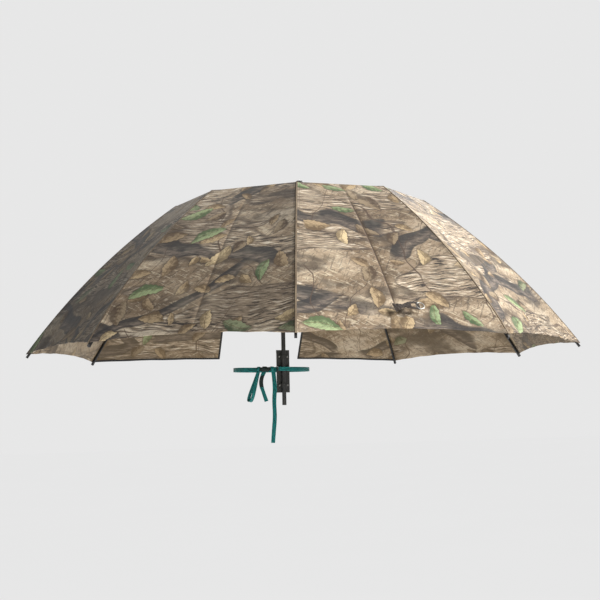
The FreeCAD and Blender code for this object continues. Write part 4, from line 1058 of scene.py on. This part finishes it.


# the knot, the doubled band and the two inner turns are painted near-black as shade
knot = knot_lump("bow_knot", -0.002, 0.0125, 0.0066, 0.0048, 0.0010)
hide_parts("strap_knot")
overlap_points, overlap_faces = [], []
for k in range(33):
    angle = -38.5 + 25.6 * k / 32
    bulge = 0.0012 + 0.0022 * sin(pi * k / 32) ** 2
    overlap_points.append(on_trunk(angle, -0.0005 + 0.0009 * sin(0.32 * k), bulge))
    overlap_faces.append((outward_of(angle) + Vector((0, 0, 0.14 * sin(0.4 * k)))).normalized())
doubled = band_section(0.0112, 0.0014)
wraps = [sweep("bow_doubled_band", overlap_points, overlap_faces, doubled, shade_painted_webbing)]
# Where each turn is along the webbing, its tilt, half depth, half height, width and material.
KNOT_TURNS = (
    (-0.0035, 0.25, 0.0056, 0.0074, 0.0080, shade_painted_webbing),
    (0.0050, -0.5, 0.0050, 0.0070, 0.0074, shade_painted_webbing),
    (-0.0195, 0.35, 0.0034, 0.0069, 0.0092, webbing),
    (0.0212, -0.2, 0.0034, 0.0069, 0.0096, webbing),
)
for number, (along, tilt, deep, high, wide, material) in enumerate(KNOT_TURNS, start=1):
    angle = KNOT_ANGLE + degrees(along / (TRUNK + WEB))
    out_here = outward_of(angle)
    along_here = Vector((-out_here.y, out_here.x, 0))
    middle = on_trunk(angle, 0, deep)
    turn_points, turn_faces = [], []
    for c, s in circle(36):
        spoke = out_here * deep * c + Vector((0, 0, high * s))
        turn_points.append(middle + spoke + along_here * tilt * 0.0068 * s)
        turn_faces.append(spoke.normalized())
    section = band_section(wide, 0.0013)
    wraps.append(sweep(f"bow_wrap_{number}", turn_points, turn_faces, section, material, closed=True))


def hanging(name, angle, twist, *stops):
    """A flat end of the webbing through (height, out, along) stops, turning a little as it hangs.

    With it come the point where it leaves the knot, and its line.
    """
    controls = [on_trunk(angle, *stop) for stop in stops]
    line = smooth_route(controls)
    base = outward_of(angle)
    normals = []
    for k, t in enumerate(tangents_of(line)):
        s = k / (len(line) - 1)
        spin = radians(twist) * s + radians(9) * sin(3.2 * pi * s)
        normals.append(Matrix.Rotation(spin, 3, t) @ base)
    tail = sweep(name, line, normals, band_section(WEB_WIDE, 0.0013), webbing)
    return tail, tuple(controls[0]), line


HANG = -0.0074
short_tail, short_start, short_line = hanging(
    "bow_short_tail", SHORT_ANGLE, 18,
    (HANG, 0.0016), (-0.022, 0.0042, -0.0075), (-0.044, 0.0054, -0.0098),
    (-0.066, 0.0048, -0.0030), (-0.0925, 0.0016, 0.0052),
)
# part of the short tail is painted near-black as shade
short_tail.data.materials.append(shade_painted_webbing)
for face in short_tail.data.polygons:
    face.material_index = 1 if -0.052 < face.center.z < -0.018 else 0
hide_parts("strap_short_tail")
long_tail, long_start, long_line = hanging(
    "bow_long_tail", LONG_ANGLE, -14,
    (HANG, 0.0016), (-0.048, 0.0052, 0.0044), (-0.092, 0.0062, 0.0004),
    (-0.136, 0.0058, 0.0026), (-0.178, 0.0036, -0.0015), (-0.2110, 0.0014, -0.0040),
)
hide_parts("strap_long_tail")

LOOP_TURN, LOOP_FALL = radians(35), tan(radians(-17))
loop_out = outward_of(LOOP_ANGLE)
loop_along = Vector((-loop_out.y, loop_out.x, 0))
loop_wide = (loop_along * cos(LOOP_TURN) + loop_out * sin(LOOP_TURN)).normalized()
loop_plane = loop_wide.cross(Vector((0, 0, -1)) + loop_along * LOOP_FALL).normalized()


def loop_point(side, down, out):
    """A point of the folded loop: sideways in its turned plane, down its middle line, off the trunk."""
    return on_trunk(LOOP_ANGLE, HANG - down, out) + loop_along * LOOP_FALL * down + loop_wide * side


loop_line = smooth_route([loop_point(*stop) for stop in (
    (-0.0008, 0.0, 0.0026), (-0.0030, 0.022, 0.0042), (-0.0078, 0.050, 0.0062), (-0.0100, 0.073, 0.0072),
    (-0.0062, 0.0855, 0.0072), (0.0062, 0.0855, 0.0072), (0.0100, 0.073, 0.0072),
    (0.0080, 0.050, 0.0066), (0.0034, 0.022, 0.0050), (0.0010, 0.0006, 0.0040),
)])
loop_normals = [loop_plane.cross(t) for t in tangents_of(loop_line)]
loop = sweep("bow_loop", loop_line, loop_normals, band_section(0.0112, 0.0012), webbing)
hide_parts("strap_loop")
for piece in [ring, knot, *wraps, short_tail, long_tail, loop]:
    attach(piece, "mast_body")

# ---- small rigid details
SCREW_X, SCREW_FROM_END, SCREW_DEPTH, SOCKET_DEPTH = 0.0125, 0.006, 0.0016, 0.0009
low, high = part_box("bracket_saddles")
screw_y = -(TRUNK + WEB + WEB_GAP + BRACKET_WALL) - SADDLE_WALL - SCREW_DEPTH / 2
heights = (high[2] - SCREW_FROM_END, low[2] + SCREW_FROM_END)
for number, (x, z) in enumerate([(x, z) for x in (-SCREW_X, SCREW_X) for z in heights], start=1):
    bm = bmesh.new()
    bmesh.ops.create_cone(bm, segments=28, radius1=0.0031, radius2=0.0026, depth=SCREW_DEPTH, cap_ends=True)
    top_face = max(bm.faces, key=lambda f: f.calc_center_median().z)
    bmesh.ops.inset_region(bm, faces=[top_face], thickness=0.0011)
    for v in top_face.verts:
        v.co.z -= SOCKET_DEPTH
    short_edges = [e for e in bm.edges if e.calc_length() < 0.0008 and e.is_manifold]
    bmesh.ops.bevel(bm, geom=short_edges, offset=0.00015, segments=1)
    bmesh.ops.rotate(bm, verts=bm.verts, cent=(0, 0, 0), matrix=Matrix.Rotation(radians(90), 3, "X"))
    bmesh.ops.translate(bm, verts=bm.verts, vec=(x, screw_y, z))
    screw = finish_mesh(f"saddle_screw_{number}", bm, [plated], 35)
    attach(screw, "mast_body")

# ---- stage, lights and camera
FLOOR_Z = -1.7
bm = bmesh.new()
bmesh.ops.create_grid(bm, x_segments=2, y_segments=2, size=40)
bmesh.ops.translate(bm, verts=bm.verts, vec=(0, 0, FLOOR_Z))
g = Graph("pale_floor")
mottle = g.noise(g.place(), 0.7, 2)
pale = g.mix(mottle, (0.815, 0.815, 0.815, 1), (0.825, 0.825, 0.825, 1))
lit = g.node("BsdfDiffuse", {"Color": pale})
plain = g.node("Emission", {"Color": pale, "Strength": 1.0})
rays = g.node("LightPath").outputs
direct = g.math("MAXIMUM", rays["Is Camera Ray"], rays["Is Glossy Ray"])
blend = g.node("MixShader", {0: g.mul(direct, 0.96), 1: lit.outputs[0], 2: plain.outputs[0]})
g.node("OutputMaterial", {"Surface": blend.outputs[0]})
floor = finish_mesh("floor", bm, [g.owner])

scene = bpy.context.scene
g = Graph("studio", "worlds")
scene.world = g.owner
rays = g.node("LightPath").outputs
direct = g.math("MAXIMUM", rays["Is Camera Ray"], rays["Is Glossy Ray"])
card_seen = g.math("MAXIMUM", direct, rays["Is Transmission Ray"])
sky = g.node("Background", {0: (0.95, 0.98, 1.0, 1), 1: 0.18})
card = g.node("Background", {0: (0.80, 0.80, 0.80, 1), 1: 1.0})
blend = g.node("MixShader", {0: card_seen, 1: sky.outputs[0], 2: card.outputs[0]})
g.node("OutputWorld", {0: blend.outputs[0]})

MIDDLE = Vector((0, -0.30, 0.25))


def area_light(name, place, size, power, colour=(1, 1, 1)):
    data = bpy.data.lights.new(name, "AREA")
    data.shape = "DISK"
    data.size, data.energy, data.color = size, power, colour
    light = bpy.data.objects.new(name, data)
    light.location = place
    light.rotation_euler = (MIDDLE - Vector(place)).to_track_quat("-Z", "Y").to_euler()
    scene.collection.objects.link(light)


area_light("key", (3.12, -3.11, 2.67), 2.0, 440, (1.0, 0.985, 0.96))
area_light("top", (2.2, -0.5, 3.3), 3.0, 38)
area_light("back", (1.9, 3.1, 2.5), 2.4, 210)
area_light("under", (-0.3, -1.9, -1.3), 2.2, 30, (1.0, 0.99, 0.97))

camera_data = bpy.data.cameras.new("camera")
camera_data.sensor_width = 36
camera_data.lens = 62.58
camera = bpy.data.objects.new("camera", camera_data)
camera.location = (-0.8972, -2.9935, -0.1137)
camera.rotation_euler = (radians(95.92), radians(1.12), radians(-18.21))
scene.collection.objects.link(camera)
scene.camera = camera
scene.view_settings.view_transform = "Standard"
